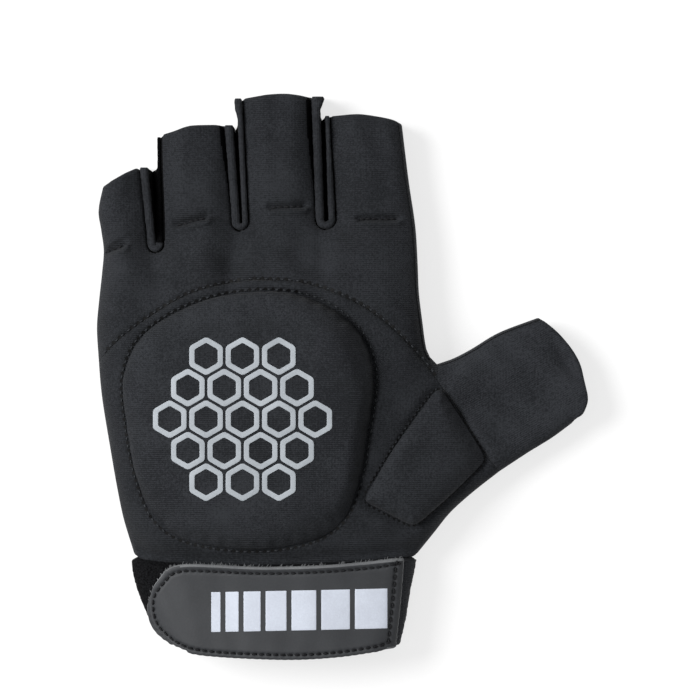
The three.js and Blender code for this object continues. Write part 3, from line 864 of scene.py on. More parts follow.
THREAD = thread("grey_thread", (0.015, 0.0163, 0.0185), (0.036, 0.039, 0.0435))
SOFT_THREAD = thread("soft_thread", (0.009, 0.0098, 0.0113), (0.022, 0.0238, 0.027))
DARK_THREAD = thread("dark_thread", (0.004, 0.004, 0.005), (0.012, 0.0125, 0.014))
# Near-black discs that paint the shade of the needle holes
HOLE_SHADE = thread("needle_hole_shade", (0.002, 0.002, 0.002), (0.005, 0.005, 0.0055))


# Shallow folds and grooves, as heights over the plain form
DIP_WIDTH = 1.6


def groove(distance, depth, width):
    return -depth * bell(distance, width)


def soft_minimum(a, b, bend):
    return np.minimum(a, b) - np.maximum(bend - np.abs(a - b), 0) ** 2 / (4 * bend)


def steep_share(sizes, x, y):
    """How far a pad's side at x, y is a steep slope in place of a dome."""
    return smoothstep(x, *sizes["steep_x"]) * smoothstep(y, *sizes["steep_y"])


def waves(points, pitch, angle, turn=0.0):
    """Soft waves across a direction in plan, bent a little so that they don't look ruled."""
    x, y = points[:, 0], points[:, 1]
    bend = 1.7 * np.sin(0.09 * x + 0.06 * y + turn) + 1.2 * np.sin(0.05 * x - 0.11 * y + 2 * turn)
    across = x * math.cos(angle) + y * math.sin(angle) + bend
    return np.sin(2 * np.pi * across / pitch + turn)


STITCH_PITCH = 2.4
FINE_PITCH = 1.7
pad_outline = smooth_outline(outline_of(BACK_PAD_SIDES), 16)
thumb_pad_outline = smooth_outline(outline_of(THUMB_PAD_SIDES), 14)


def seam_relief(points, curve):
    """A sewn line: a shallow groove, pinched at each needle hole, between two soft lips."""
    distance, _, place = nearest(curve, points)
    pinch = 0.5 + 0.5 * np.cos(2 * np.pi * place / STITCH_PITCH)
    lips = 0.14 * bell(distance - 1.7, 0.8)
    return groove(distance, 0.22, 0.8) + groove(distance, 0.4, 0.5) * pinch + lips


def pleat_relief(points):
    """Pleats: the cloth above rolls down into a sewn line, and a lip stands below it."""
    total = np.zeros(len(points))
    for pleat in PLEATS:
        distance, side, _ = nearest(pleat, points)
        total += groove(distance, 2.4, np.where(side > 0, 1.5, 0.5))
        total += np.where(side > 0, 0, 0.9 * bell(distance - 1.3, 0.8))
    return total


def slot_line(slot, k):
    """The middle line of the strip round a slot, from one finger's end to the next one's."""
    foot = slot["footY"]
    down = np.linspace(FINGERS[k]["tipRight"], foot, 15)
    up = np.linspace(foot, FINGERS[k + 1]["tipLeft"], 15)
    foot_part = foot_arc(slot, np.linspace(0, 1, 12)[1:-1])
    parts = [(arm(slot, "left", down), down), foot_part, (arm(slot, "right", up), up)]
    return np.vstack([np.stack(part, -1) for part in parts])


def beside_slot(points, slot, k):
    """Whether points are left of a slot, how far from its strip, and how far towards its open end."""
    x, y = points[:, 0], points[:, 1]
    on_left = x < (arm(slot, "left", y) + arm(slot, "right", y)) / 2
    width = np.where(on_left, slot["leftWidth"], right_width(slot, y))
    away = nearest(slot_line(slot, k), points[:, :2])[0] - width / 2 * STRIP_SHARE
    return on_left, away, smoothstep(y, slot["footY"] + 6, slot["footY"] + 28)


def soft_forms(points, forms):
    """Soft dents and rises: each has x, y, half length, half width, turn in degrees and height."""
    total = np.zeros(len(points))
    for x, y, length, width, turn, height in forms:
        c, s = math.cos(math.radians(turn)), math.sin(math.radians(turn))
        off_x, off_y = points[:, 0] - x, points[:, 1] - y
        ahead, across = off_x * c + off_y * s, off_y * c - off_x * s
        total += height * np.exp(-((ahead / length) ** 2) - (across / width) ** 2)
    return total


BODY_FORMS = [
    [-67, 31, 10, 5, 95, 1.4], [-44, 35, 10, 6, 95, 2.0], [-21, 37, 10, 7, 88, 1.4],
    [7, 37, 11, 8, 85, 1.3], [-57, 31, 10, 3, 97, -1.5], [-33.5, 36, 10, 3, 82, -1.5],
    [-5.5, 37, 9, 3, 90, -1.1], [68.7, 6.2, 7, 2.0, 124, -1.4], [52, 2, 12, 6, 25, 0.8],
    [-71, 18, 12, 3.5, 88, 0.6], [23, 13, 12, 6, 70, 1.0], [29.6, 1.6, 3, 2.4, 40, 0.9],
    [-58, -47, 12, 5, -40, 2.2],
    [-71.8, 38.2, 4.5, 1.0, 18, -1.4], [-70.3, 40.4, 4.5, 0.6, 27, -0.7], [-70, 36, 4.5, 1.1, 14, 0.6],
]


def body_relief(points):
    """All seams, folds and grooves of the back, one function for all of its panels so that they meet."""
    x, y = points[:, 0], points[:, 1]
    total = seam_relief(points, sampled["arch"]) * (1 - smoothstep(x, 27, 29.5))
    total += seam_relief(points, sampled["thumb_seam"]) * 0.8 * smoothstep(-y, 2, 5)
    total += pleat_relief(points) + soft_forms(points, BODY_FORMS)
    for k, slot in enumerate(SLOTS):
        on_left, away, far = beside_slot(points, slot, k)
        edge = np.maximum(away, 0)
        deep = far * (slot["sunk"] == 0)
        depth = np.where(on_left, mix(1.5, 5.0, deep), 1.7 + 0.4 * slot["sunk"])
        total -= depth * (1 - rounding(edge, mix(1.0, 3.0 - 0.6 * deep, on_left * far)))
        slope_down = 1.9 * np.maximum(1 - edge / 9, 0) ** 2
        trough = 1.9 * (1 - smoothstep(edge, 1.2, 7))
        total -= np.where(on_left, slope_down, trough) * smoothstep(y, slot["footY"] - 9, slot["footY"] + 3)
    pad, inside, _ = nearest(pad_outline, points[:, :2])
    steep = steep_share(BACK_PAD, x, y)
    pad_depth = mix(mix(0.3, 0.85, smoothstep(y, -47, -33)), 3.4, steep)
    total += groove(pad, pad_depth, np.where(inside > 0, 3.0, mix(1.2, 0.8, steep)))
    total += groove(nearest(thumb_pad_outline, points[:, :2])[0], 1.5, 1.9)
    knuckles = smoothstep(y, 10, 26) * (1 - smoothstep(y, 40, 52))
    total += 0.35 * knuckles * waves(points, 13, 0.12, 0.6)
    total += 0.25 * smoothstep(y, 50, 58) * waves(points, 11, 0.05, 1.9)
    web = smoothstep(x, 6, 18) * (1 - smoothstep(x, 36, 46)) * (1 - smoothstep(y, 4, 14))
    total += 0.35 * web * waves(points, 13, -0.75, 1.1)
    thumb = smoothstep(x, 34, 44) * (1 - smoothstep(y, 19, 24))
    total += 0.25 * thumb * waves(points, 11, 0.9, 1.9)
    total += 0.17 * waves(points, 8, 0.9, 0.3)
    hem = nearest(sampled["hem"], points[:, :2])[0]
    total -= 0.8 * (1 - smoothstep(hem, 0.5, 12)) + 1.7 * (1 - smoothstep(hem, 0.3, 5))
    return total + 0.35 * bell(hem, 1.0)


def folded_height(points):
    """The back with its folds, which are weaker beside the side seams."""
    share = mix(0.25, 1, smoothstep(side_distance(points), 0, 3))
    return back_height(points) + body_relief(points) * share


# The panels of the back
def beside_strip(width, radius):
    return width / 2 + ROLL - 0.9


def under_strip(width, radius):
    return ROLL - 0.1 - radius


def flat_seams(points):
    """Edges are rounded all round, apart from where two panels meet in a flat seam."""
    plan = points[:, :2]
    distance = np.minimum(nearest(sampled["arch"], plan)[0], nearest(sampled["thumb_seam"], plan)[0])
    corner = np.hypot(*(plan - THUMB_OUTER[-1]).T)
    return smoothstep(distance, 0.6, 1.6) * mix(0.2, 1, smoothstep(corner, 0.5, 4))


def panel(name, grid, material, node):
    piece = sheet(name, grid, WALL, [material], roll=flat_seams)
    return finish_piece(piece, [node])


SEAM_STEP = 0.02
THUMB_LENGTH = 45  # about, from its seam to its end, for turning millimetres into shares
BACK_CELLS = {
    "fingers": [38, 40, 40, 44], "knuckles": 70, "tips": 64, "hand": 110, "thumb_side": 60, "thumb": 64,
}
PALM_CELLS = {
    "fingers": [16, 16, 16, 18], "knuckles": 20, "tips": 24, "hand": 40, "thumb_side": 22, "thumb": 30,
}


def hand_columns(shares, cells):
    """The hand's columns: those of the fingers where they meet the arch, and some along the thumb's seam."""
    beside_thumb = mix(ARCH_SHARE, 1, spread(cells["thumb_side"], "last")[1:])
    return np.concatenate([arch_shares(shares) * ARCH_SHARE, beside_thumb])


def thumb_points(cells):
    us = mix(SEAM_STEP / THUMB_LENGTH, 1 - ROLL / THUMB_LENGTH, spread(cells["thumb"]))
    return thumb_plan(us, spread(cells["thumb"], "both"))


finger_cols, finger_shares = finger_columns(beside_strip, BACK_CELLS["fingers"])
knuckles = knuckle_rows(finger_cols, finger_shares, spread(BACK_CELLS["knuckles"]), SEAM_STEP)
tips = tip_rows(finger_cols, spread(BACK_CELLS["tips"])[1:], beside_strip)
finger_grid = lifted(np.concatenate([knuckles, tips]), folded_height)
finger_back = sheet("finger_back", finger_grid, WALL, [BACK_CLOTH, SHADE_BLACK], roll=flat_seams)
# Faces in the creases along the strips get the near-black material as painted shade, wider towards the open
# ends beside the left rolls
centres = face_centres(finger_back).T
painted_crease_shade = np.zeros(len(centres), bool)
for k, slot in enumerate(SLOTS):
    on_left, away, far = beside_slot(centres, slot, k)
    crease_shade_width = np.where(on_left, mix(0.3, 1.6, far), 0.3) if slot["sunk"] == 0 else np.where(on_left, 0, 0.6)
    painted_crease_shade |= away < np.where(centres[:, 1] > slot["footY"] + 1, crease_shade_width, 0.3)
set_materials(finger_back, painted_crease_shade)
finish_piece(finger_back, ["finger_back_panel"])

hand_us = hand_columns(finger_shares, BACK_CELLS)
hand_grid = lifted(hand_plan(hand_us, spread(BACK_CELLS["hand"])), folded_height)
hand_back = panel("hand_back", hand_grid, BACK_CLOTH, "hand_back_panel")
thumb_grid = lifted(thumb_points(BACK_CELLS), folded_height)
thumb_back = panel("thumb_back", thumb_grid, THUMB_CLOTH, "thumb_back_panel")


# The palm
palm_cols, palm_shares = finger_columns(under_strip, PALM_CELLS["fingers"])
hand_part = hand_plan(hand_columns(palm_shares, PALM_CELLS), spread(PALM_CELLS["hand"]))
# The hand's last row lies on the arch, and the knuckles' first one at a distance from it
knuckle_shares = np.concatenate([[0.104], spread(PALM_CELLS["knuckles"])[3:]])
knuckle_part = knuckle_rows(palm_cols, palm_shares, knuckle_shares, 0.0)
tip_part = tip_rows(palm_cols, spread(PALM_CELLS["tips"])[1:], under_strip)
upper_part = np.concatenate([knuckle_part, tip_part])
missing = hand_part.shape[1] - upper_part.shape[1]
upper_part = np.pad(upper_part, ((0, 0), (0, missing), (0, 0)), constant_values=np.nan)
palm_grid = lifted(np.concatenate([hand_part, upper_part]), palm_height)
panel("palm", palm_grid[:, ::-1], PALM_CLOTH, "palm_panel")
thumb_front_grid = lifted(thumb_points(PALM_CELLS), palm_height)
panel("thumb_front", thumb_front_grid[:, ::-1], PALM_CLOTH, "thumb_palm_panel")


# The strips between the fingers
STRIP_RISE = 0.1
STRIP_OVER = 0.1  # how far a strip goes past the fingers' ends
SUNK_OVER = -0.4  # the same on a sunk side
STRIP_END = 0.9
STRIP_LEAN = 2.2
STRIP_BEND = 7.0  # how far below its top a strip's walls bend
STRIP_CELLS = {"arm": 60, "foot": 20, "top": 14}


def strip_sections(slot, k):
    """Along the strip: x, y, the direction across it and its width."""
    sections = []
    for share in spread(STRIP_CELLS["arm"])[:-1]:
        y = mix(FINGERS[k]["tipRight"] + STRIP_OVER, slot["footY"], share)
        sections.append([arm(slot, "left", y), y, math.pi, slot["leftWidth"]])
    for share in spread(STRIP_CELLS["foot"]):
        width = mix(slot["leftWidth"], slot["rightWidth"], share)
        sections.append([*foot_arc(slot, share), math.pi * (1 + share), width])
    far_end = FINGERS[k + 1]["tipLeft"] + (STRIP_OVER if slot["sunk"] == 0 else SUNK_OVER)
    for share in spread(STRIP_CELLS["arm"])[1:]:
        y = mix(slot["footY"], far_end, share)
        sections.append([arm(slot, "right", y), y, 2 * math.pi, right_width(slot, y)])
    x, y, angle, width = np.array(sections).T
    # An end that stands free of the next finger's spreads a little towards the slot
    free = (slot["sunk"] == 0) * smoothstep(y - shared_end(k), 1.5, 5.5)
    flare = free * np.where(angle > 1.5 * math.pi, 0.7, 1.3)
    return x - flare / 2 * np.cos(angle), y, angle, width + flare


def side_strip(slot, k):
    """A strip that stands on the palm, runs round the foot of its slot and has a rounded, sewn top."""
    x, y, angle, width = strip_sections(slot, k)
    place = lengths(np.stack([x, y], -1))
    to_end = np.minimum(place, place[-1] - place)
    rounded = rounding(to_end + 0.15, STRIP_END)
    puff = 1 + 0.04 * np.sin(2 * np.pi * place / 2.3) + 0.04 * np.sin(2 * np.pi * place / 7.1 + k)
    half = width / 2 * STRIP_SHARE * puff * mix(0.65, 1, rounded)
    top = back_height(np.stack([x, y], -1)) + STRIP_RISE - 0.9 * (1 - rounded)
    foot, sunk = slot["footY"], slot["sunk"]
    on_right = angle > 1.6 * math.pi
    top = top - np.where(on_right, sunk * smoothstep(y, foot - 0.5, foot + 5), 0)
    turn = np.pi * spread(STRIP_CELLS["top"])[:, None]
    # The wall that faces the slot leans against the one across it, so that the slot is closed below
    leaning = 1 - smoothstep(y, shared_end(k) - 1, shared_end(k))
    lean = np.minimum(half_gap(k, y) - half + 0.1, STRIP_LEAN) * leaning
    across = np.vstack([-np.cos(turn) * half, half * 0.9, half, -half * 0.9 - lean, -half - lean * 0.6])
    low, side = np.full_like(x, WALL), top - STRIP_BEND
    height = np.vstack([top - half + np.sin(turn) * half, side, low, low, side])
    loops = np.stack([x + np.cos(angle) * across, y + np.sin(angle) * across, height], -1)
    loops = loops.transpose(1, 0, 2)
    count, around = loops.shape[:2]
    # The walls that face into the slot, and the whole sunk roll, get the near-black material as painted
    # shade
    marks = np.zeros((count - 1, around))
    marks[:, -2:] = 1
    marks[(on_right & (sunk > 0) & (y > foot + 0.5))[:-1]] = 1
    marks = np.concatenate([marks.reshape(-1), [0, 0]])
    faces = loft_faces(count, around)
    name = f"side_strip_{slot['name']}"
    piece = mesh_object(name, loops.reshape(-1, 3), faces, [STRIP_CLOTH, SHADE_BLACK], marks)
    finish_piece(piece, [f"fourchette_{slot['name']}"])


for k, slot in enumerate(SLOTS):
    side_strip(slot, k)


# The pads
def pad_grid(outline, sizes, cells):
    """A pad's outer face, and how far its points lie from the outline."""
    shares = spread(cells, "both")
    plan = patch_through(sides_of(outline))(shares, shares)
    distance = nearest(outline, plan)[0]
    steep = steep_share(sizes, plan[..., 0], plan[..., 1])
    low = smoothstep(-plan[..., 1], 28, 44)
    edge = mix(sizes["edge"], sizes["low_edge"], low)
    ramp = 1 - (1 - np.clip(distance / edge, 0, 1)) ** 2
    domed = sizes["height"] * mix(rounding(distance, edge), ramp, low * sizes["flat_foot"])
    sloped = soft_minimum(sizes["slope"] * distance, sizes["height"], sizes["bend"])
    crown = sizes["rim"] + mix(domed, sloped, steep) + steep * groove(distance, sizes["dip"], DIP_WIDTH)
    return above(back_height, plan, sizes["gap"] + crown), distance


SMOOTHING = 4
CLOTH_FRAMES = 20
CLOTH = {
    "quality": 6,
    "mass": 0.2,
    "tension_stiffness": 12,
    "compression_stiffness": 12,
    "shear_stiffness": 6,
    "bending_stiffness": 0.8,
    "shrink_min": -0.012,
    "use_pressure": True,
    "uniform_pressure_force": 1.2,
    "vertex_group_mass": "held",
}


def soften(grid, distance, cap):
    """Blow the cover up a little by cloth simulation, held along its stitched outline."""
    points, quads = grid_quads(grid, False)
    piece = mesh_object("cloth_run", points, quads.tolist(), [])
    held = piece.vertex_groups.new(name="held")
    for k, value in enumerate(distance.reshape(-1)):
        held.add([k], float(1 - smoothstep(np.array(value), 0.3, 1.6)), "REPLACE")
    cloth = piece.modifiers.new("cloth", "CLOTH")
    for key, value in CLOTH.items():
        setattr(cloth.settings, key, value)
    cloth.settings.effector_weights.gravity = 0
    cloth.collision_settings.use_collision = False
    cloth.collision_settings.use_self_collision = False
    scene = bpy.context.scene
    for number in range(1, CLOTH_FRAMES + 1):
        scene.frame_set(number)
    shaped = piece.evaluated_get(bpy.context.evaluated_depsgraph_get())
    moved = np.array([vertex.co for vertex in shaped.data.vertices]) / MM
    step = moved - points
    length = np.linalg.norm(step, axis=1, keepdims=True)
    step *= np.minimum(length, cap) / np.maximum(length, 1e-9)
    step = step.reshape(grid.shape)
    for _ in range(SMOOTHING):
        step[1:-1] = (step[:-2] + 2 * step[1:-1] + step[2:]) / 4
        step[:, 1:-1] = (step[:, :-2] + 2 * step[:, 1:-1] + step[:, 2:]) / 4
    bpy.data.objects.remove(piece)
    scene.frame_set(1)
    print("cloth moved at most", round(float(length.max()), 2), "mm")
    return grid + step


def refined(grid, rows, columns):
    """The same surface with more points, along smooth curves through the old ones."""
    def finer(values, count):
        old = np.linspace(0, 1, values.shape[0])
        new = np.linspace(0, 1, count)
        flat = values.reshape(values.shape[0], -1)
        slopes = np.gradient(flat, old, axis=0)
        k = np.clip(np.searchsorted(old, new, side="right") - 1, 0, len(old) - 2)
        step = old[1] - old[0]
        t = ((new - old[k]) / step)[:, None]
        fine = cubic(flat[k], flat[k + 1], slopes[k] * step, slopes[k + 1] * step, t)
        return fine.reshape((count,) + values.shape[1:])

    return finer(finer(grid, rows).swapaxes(0, 1), columns).swapaxes(0, 1)


PAD_FORMS = [[-2, 7, 14, 8, 125, 4.6], [-50, -8, 22, 9, 85, 0.6], [-27, -12, 16, 8, 95, -0.4]]


def back_pad_relief(points):
    distance, _, place = nearest(pad_outline, points)
    pucker = 0.16 * np.sin(2 * np.pi * place / 5.3) * bell(distance - 1.8, 1.5)
    crown = soft_forms(points, PAD_FORMS) * smoothstep(distance, 0.5, 8)
    return pucker + crown + 0.12 * waves(points, 19, 0.7, 0.4) + 0.06 * waves(points, 7, 1.8, 1.3)


def thumb_pad_relief(points):
    distance, _, place = nearest(thumb_pad_outline, points)
    pucker = 0.12 * np.sin(2 * np.pi * place / 4.1) * bell(distance - 1.6, 1.2)
    return pucker + 0.1 * waves(points, 15, 0.2, 2.2)


PAD_POINTS = 150  # in each direction, after the simulation


def padded_cover(name, outline, sizes, cells, cap, detail, node):
    grid, distance = pad_grid(outline, sizes, cells)
    grid = soften(grid, distance, cap)
    grid = refined(grid, PAD_POINTS, PAD_POINTS)
    piece = sheet(name, relief(grid, detail), sizes["rim"], [PAD_CLOTH])
    finish_piece(piece, [node])
    return piece


back_cover = padded_cover("back_pad_cover", pad_outline, BACK_PAD, 44, 1.0, back_pad_relief, "back_pad")
padded_cover("thumb_pad_cover", thumb_pad_outline, THUMB_PAD, 30, 0.6, thumb_pad_relief, "thumb_pad")


# The wristband and the strap
CUFF_SHARES = 110  # cells across the upper side, and as many below
CUFF_ROWS = [24, 20, 6, 6]


def cuff_pile(points):
    x, y = points[:, 0], points[:, 1]
    tufts = np.sin(7.1 * x + 3 * np.sin(5.3 * y)) * np.sin(8.3 * y + 3 * np.sin(4.7 * x))
    return 0.1 * tufts * smoothstep(points[:, 2], 0, 1)


def wristband():
    shares = spread(CUFF_SHARES, "both")
    loop = np.concatenate([shares, shares[1:-1][::-1]])
    below = np.arange(len(loop)) >= len(shares)
    end_y = mix(CUFF_END[0], CUFF_END[1], loop) + CUFF_WALL / 2
    hem_y = through(WRIST_HEM)(loop)[:, 1]
    knots = [
        (end_y, 0.0),
        (np.full_like(loop, CUFF_MIDDLE_Y), 0.0),
        (hem_y - CUFF_TUCK["start"], 0.0),
        (hem_y - CUFF_TUCK["end"], CUFF_TUCK["depth"]),
        (np.full_like(loop, CUFF_TOP_Y), CUFF_TUCK["depth"]),
    ]
    rows = []
    for (y0, d0), (y1, d1), cells in zip(knots[:-1], knots[1:], CUFF_ROWS):
        for share in spread(cells)[:-1]:
            rows.append((mix(y0, y1, share), mix(d0, d1, share)))
    rows.append(knots[-1])
    grid = []
    for y, depth in rows:
        x = mix(*cuff_sides(y, depth), loop)
        level = np.where(below, cuff_level(x, y, depth, underside=True), cuff_level(x, y, depth))
        grid.append(np.stack([x, y, level], -1))
    grid = relief(np.array(grid), cuff_pile, closed=True)
    piece = sheet("wristband", grid, CUFF_WALL, [LOOP, BACK_CLOTH], closed=True)
    # The pile ends under the strap's sewn end, and plain cloth goes on from there
    x, y, _ = face_centres(piece)
    set_materials(piece, x > x_at(STRAP_SIDES["right"], y) - 1)
    finish_piece(piece, ["cuff_band"])


strap_outline = outline_of(STRAP_SIDES)
STRAP_PITCH = 2.2
STRAP_CELLS = (200, 70)
STRAP_SHRINK = (0.99, 0.98)  # leaves room for the rounded edge
PALE_EDGE = {"over_y": -79, "over_x": 14, "round_end_x": -50}


def strap_inset(plan):
    """How far inside the tab's edge its stitches run, which is more along the top and the straight end."""
    x, y = plan[:, 0], plan[:, 1]
    return mix(mix(0.75, 1.8, smoothstep(y, -70, -61)), 1.5, smoothstep(x, 12, 16))


def strap_relief(points):
    distance, _, place = nearest(strap_outline, points)
    pinch = 1 + 0.3 * np.cos(2 * np.pi * place / STRAP_PITCH)
    total = groove(distance - strap_inset(points), 0.42, 0.6) * pinch
    return total + 0.1 * waves(points, 21, 0.2, 0.9) + 0.05 * waves(points, 9, 0.1, 2.0)


def strap_tab():
    plan = patch_through(STRAP_SIDES)(*(spread(cells, "both") for cells in STRAP_CELLS))
    middle = plan.reshape(-1, 2).mean(axis=0)
    plan = middle + (plan - middle) * STRAP_SHRINK
    grid = above(cuff_height, plan, np.full(plan.shape[:-1], STRAP["gap"] + STRAP["wall"]))
    piece = sheet("strap_tab", relief(grid, strap_relief), STRAP["wall"], [COATED, CUT_EDGE])
    # The cut edge is pale at the top and the ends. The lower edge gets the darker coated colour as painted
    # shade, where it faces away from the light
    x, y, _ = face_centres(piece)
    bands = np.where(x < PALE_EDGE["round_end_x"], RIM_BANDS - 1, RIM_BANDS)
    on_rim = np.arange(len(x)) >= len(x) - bands * 2 * sum(STRAP_CELLS)
    set_materials(piece, on_rim & ((y > PALE_EDGE["over_y"]) | (x > PALE_EDGE["over_x"])))
    return finish_piece(piece, ["strap"])


wristband()
tab = strap_tab()


# Stitches
EDGE_INSET = {"index": [-0.95, 0], "thumb_inner": [0.35, -0.75]}
TAPER = np.array([0.45, 0.85, 1, 1, 1, 0.85, 0.45])  # the thickness along a thread
THREAD_SIDES = 6
HOLE_SIDES = 8
HOLE_LIFT = 0.05
HOLE_STEP = 1.5  # a hole that would span more height lies across a step, and is left out


def inset_line(curve, distance):
    """A closed line moved inwards."""
    points = curve[:-1]
    ahead = unit(np.roll(points, -1, axis=0) - np.roll(points, 1, axis=0))
    moved = points + distance * np.stack([-ahead[:, 1], ahead[:, 0]], -1)
    return np.vstack([moved, moved[:1]])


def circle(count):
    angles = 2 * np.pi * np.arange(count) / count
    return np.stack([np.cos(angles), np.sin(angles)], -1)


def stitch_row(curve, trees, pitch, share, radius, sink):
    """Stitches along a line in plan: short arched threads, whose ends go into the cloth."""
    total, at = walk(curve)
    count = max(int(total / pitch), 1)
    along_thread = np.linspace(-0.5, 0.5, len(TAPER))
    places = (np.arange(count)[:, None] + 0.5 + along_thread[None] * share) * total / count
    surface, normals = drop(trees, at(places.reshape(-1)))
    arch_height = radius * 0.9 - sink * (2 * np.abs(along_thread)) ** 4
    centre = surface + normals * np.tile(arch_height, count)[:, None]
    centre, normals = (values.reshape(count, len(TAPER), 3) for values in (centre, normals))
    return [(c, n, radius) for c, n in zip(centre, normals) if not np.isnan(c).any()]


def threads(name, stitches, material):
    """All stitches of a kind as one mesh of small round tubes with pointed ends."""
    cosine, sine = np.split(circle(THREAD_SIDES), 2, axis=1)
    points, faces = [], []
    for centre, normals, radius in stitches:
        ahead = unit(np.gradient(centre, axis=0))
        across = unit(np.cross(normals, ahead))
        up = np.cross(ahead, across)
        faces.extend(loft_faces(len(centre), THREAD_SIDES, len(points) * THREAD_SIDES * len(TAPER)))
        turned = across[:, None] * cosine + up[:, None] * sine
        points.append((centre[:, None] + radius * TAPER[:, None, None] * turned).reshape(-1, 3))
    finish_piece(mesh_object(name, np.vstack(points), faces, [material]))


def needle_hole_shades(rows):
    """Where the thread goes in: small near-black discs just over the cloth, between the stitches, as painted
    shade in place of the holes.
    """
    points, faces = [], []
    for curve, pitch, radius in rows:
        total, at = walk(curve)
        count = max(int(total / pitch), 1)
        centres = at(np.arange(count + 1) * total / count)
        rings = [centres] + [centres + radius * step for step in circle(HOLE_SIDES)]
        surface, normals = drop(body, np.vstack(rings))
        surface = (surface + normals * HOLE_LIFT).reshape(HOLE_SIDES + 1, len(centres), 3)
        for place in surface.transpose(1, 0, 2):
            if np.isnan(place).any() or np.ptp(place[:, 2]) > HOLE_STEP:
                continue
            base = len(points) * (HOLE_SIDES + 1)
            points.append(place)
            faces.extend([base, base + 1 + k, base + 1 + (k + 1) % HOLE_SIDES] for k in range(HOLE_SIDES))
    finish_piece(mesh_object("needle_hole_shades", np.vstack(points), faces, [HOLE_SHADE]))


body = [surface_of(piece) for piece in (hand_back, finger_back, thumb_back)]
pad_tree, tab_tree = surface_of(back_cover), surface_of(tab)
arch_row = arch(np.linspace(0.02, 0.985, 200)) + [0, 0.5]
pad_row = inset_line(pad_outline, -0.9)
thumb_row = inset_line(thumb_pad_outline, -0.6)
PLEAT_PITCH = 1.7
EDGE_PITCH = 1.3

seam_stitches = stitch_row(arch_row, body, STITCH_PITCH, 0.4, 0.24, 0.35)
seam_stitches += stitch_row(pad_row, body, STITCH_PITCH, 0.4, 0.24, 0.35)
threads("seam_stitches", seam_stitches, THREAD)
fine_stitches = stitch_row(thumb_row, body, FINE_PITCH, 0.5, 0.18, 0.3)
threads("thumb_pad_stitches", fine_stitches, SOFT_THREAD)
pleat_stitches = []
for pleat in PLEATS:
    pleat_stitches += stitch_row(pleat, body, PLEAT_PITCH, 0.8, 0.34, 0.3)
threads("pleat_stitches", pleat_stitches, DARK_THREAD)
needle_hole_shades([(arch_row, STITCH_PITCH, 0.62), (pad_row, STITCH_PITCH, 0.55), (thumb_row, FINE_PITCH, 0.38)])

# Dark thread along the side seams that face up
edge_stitches = []
for name, inset in EDGE_INSET.items():
    edge_stitches += stitch_row(sampled[name][2:-1] + inset, body, EDGE_PITCH, 1.1, 0.22, 0.2)
threads("side_seam_stitches", edge_stitches, DARK_THREAD)

tab_row = inset_line(strap_outline, strap_inset(strap_outline[:-1])[:, None])
tab_stitches = stitch_row(tab_row, [tab_tree], STRAP_PITCH, 0.72, 0.35, 0.3)
threads("strap_stitches", tab_stitches, DARK_THREAD)

FIBRE_SEED = 5


def fibres(count):
    """Short loose fibres along the cut edge at the top and the round end of the tab."""
    draw = np.random.default_rng(FIBRE_SEED)
    edge = sides_of(strap_outline)
    total, at = walk(np.vstack([edge["left"][8:], edge["top"][1:]]))
    places = draw.uniform(0, total, count)
    start = at(places)
    ahead = at(places + 0.5) - start
    turn = draw.uniform(0.1, 1.3, count)
    long = draw.uniform(0.6, 1.5, count)
    curl = draw.uniform(-0.9, 0.9, count)
    heading = np.arctan2(ahead[:, 1], ahead[:, 0])
    cells = len(TAPER)
    share = np.linspace(0, 1, cells)
    made = []
    for k in range(count):
        angle = heading[k] + turn[k] + curl[k] * share
        x = start[k, 0] + np.cumsum(np.cos(angle)) * long[k] / cells
        y = start[k, 1] + np.cumsum(np.sin(angle)) * long[k] / cells
        height = cuff_height(start[k:k + 1])[0] + STRAP["gap"] + STRAP["wall"] * 0.7 - 0.5 * share
        made.append((np.stack([x, y, height], -1), np.tile([0.0, 0.0, 1.0], (cells, 1)), 0.09))
    return made


threads("strap_fibres", fibres(260), CUT_EDGE)


# Prints: plain shapes that lie on the cloth
PRINT_THICKNESS = 0.16
PRINT_LIFT = 0.4  # the share of its thickness that stands over the cloth


def printed(plan, tree):
    """A grid in plan, put on a surface as the top of a print."""
    surface, normals = drop([tree], plan.reshape(-1, 2))
    return (surface + normals * PRINT_THICKNESS * PRINT_LIFT).reshape(plan.shape[:-1] + (3,))


HEX_CORNER_CELLS = 8


def rounded_hexagon(centre, radius, ease):
    """A closed hexagon with rounded corners, from the middle of one side on."""
    angles = math.pi / 6 + 2 * np.pi * np.arange(6) / 6
    points = centre + radius * np.stack([np.cos(angles), np.sin(angles)], -1)
    loop = []
    for k in range(6):
        before, here, after = points[k - 1], points[k], points[(k + 1) % 6]
        start, end = mix(here, before, ease), mix(here, after, ease)
        for t in spread(HEX_CORNER_CELLS):
            loop.append(mix(mix(start, here, t), mix(here, end, t), t))
    return np.array(loop)


def joined_sheets(name, grids, closed, material):
    """Several thin sheets as one piece."""
    pieces = []
    for k, grid in enumerate(grids):
        pieces.append(sheet(f"{name}_{k}", grid, PRINT_THICKNESS, [material], closed=closed))
    with bpy.context.temp_override(
        active_object=pieces[0], object=pieces[0], selected_editable_objects=pieces, selected_objects=pieces
    ):
        bpy.ops.object.join()
    pieces[0].name = name
    finish_piece(pieces[0])


HEX_CENTRE = np.array([-30.4, -13.6])
HEX_PITCH = 11.2
HEX_RADIUS = 5.9
HEX_LINE = 1.7
HEX_RINGS = 2  # round the middle one
hex_grids = []
for q in range(-HEX_RINGS, HEX_RINGS + 1):
    for r in range(-HEX_RINGS, HEX_RINGS + 1):
        if abs(q + r) > HEX_RINGS:
            continue
        centre = HEX_CENTRE + HEX_PITCH * np.array([q + r / 2, r * math.sqrt(3) / 2])
        outer = rounded_hexagon(centre, HEX_RADIUS, 0.16)
        inner = rounded_hexagon(centre, HEX_RADIUS - HEX_LINE, 0.14)
        hex_grids.append(printed(np.array([mix(inner, outer, share) for share in spread(3)]), pad_tree))
joined_sheets("pad_print", hex_grids, True, PRINT)

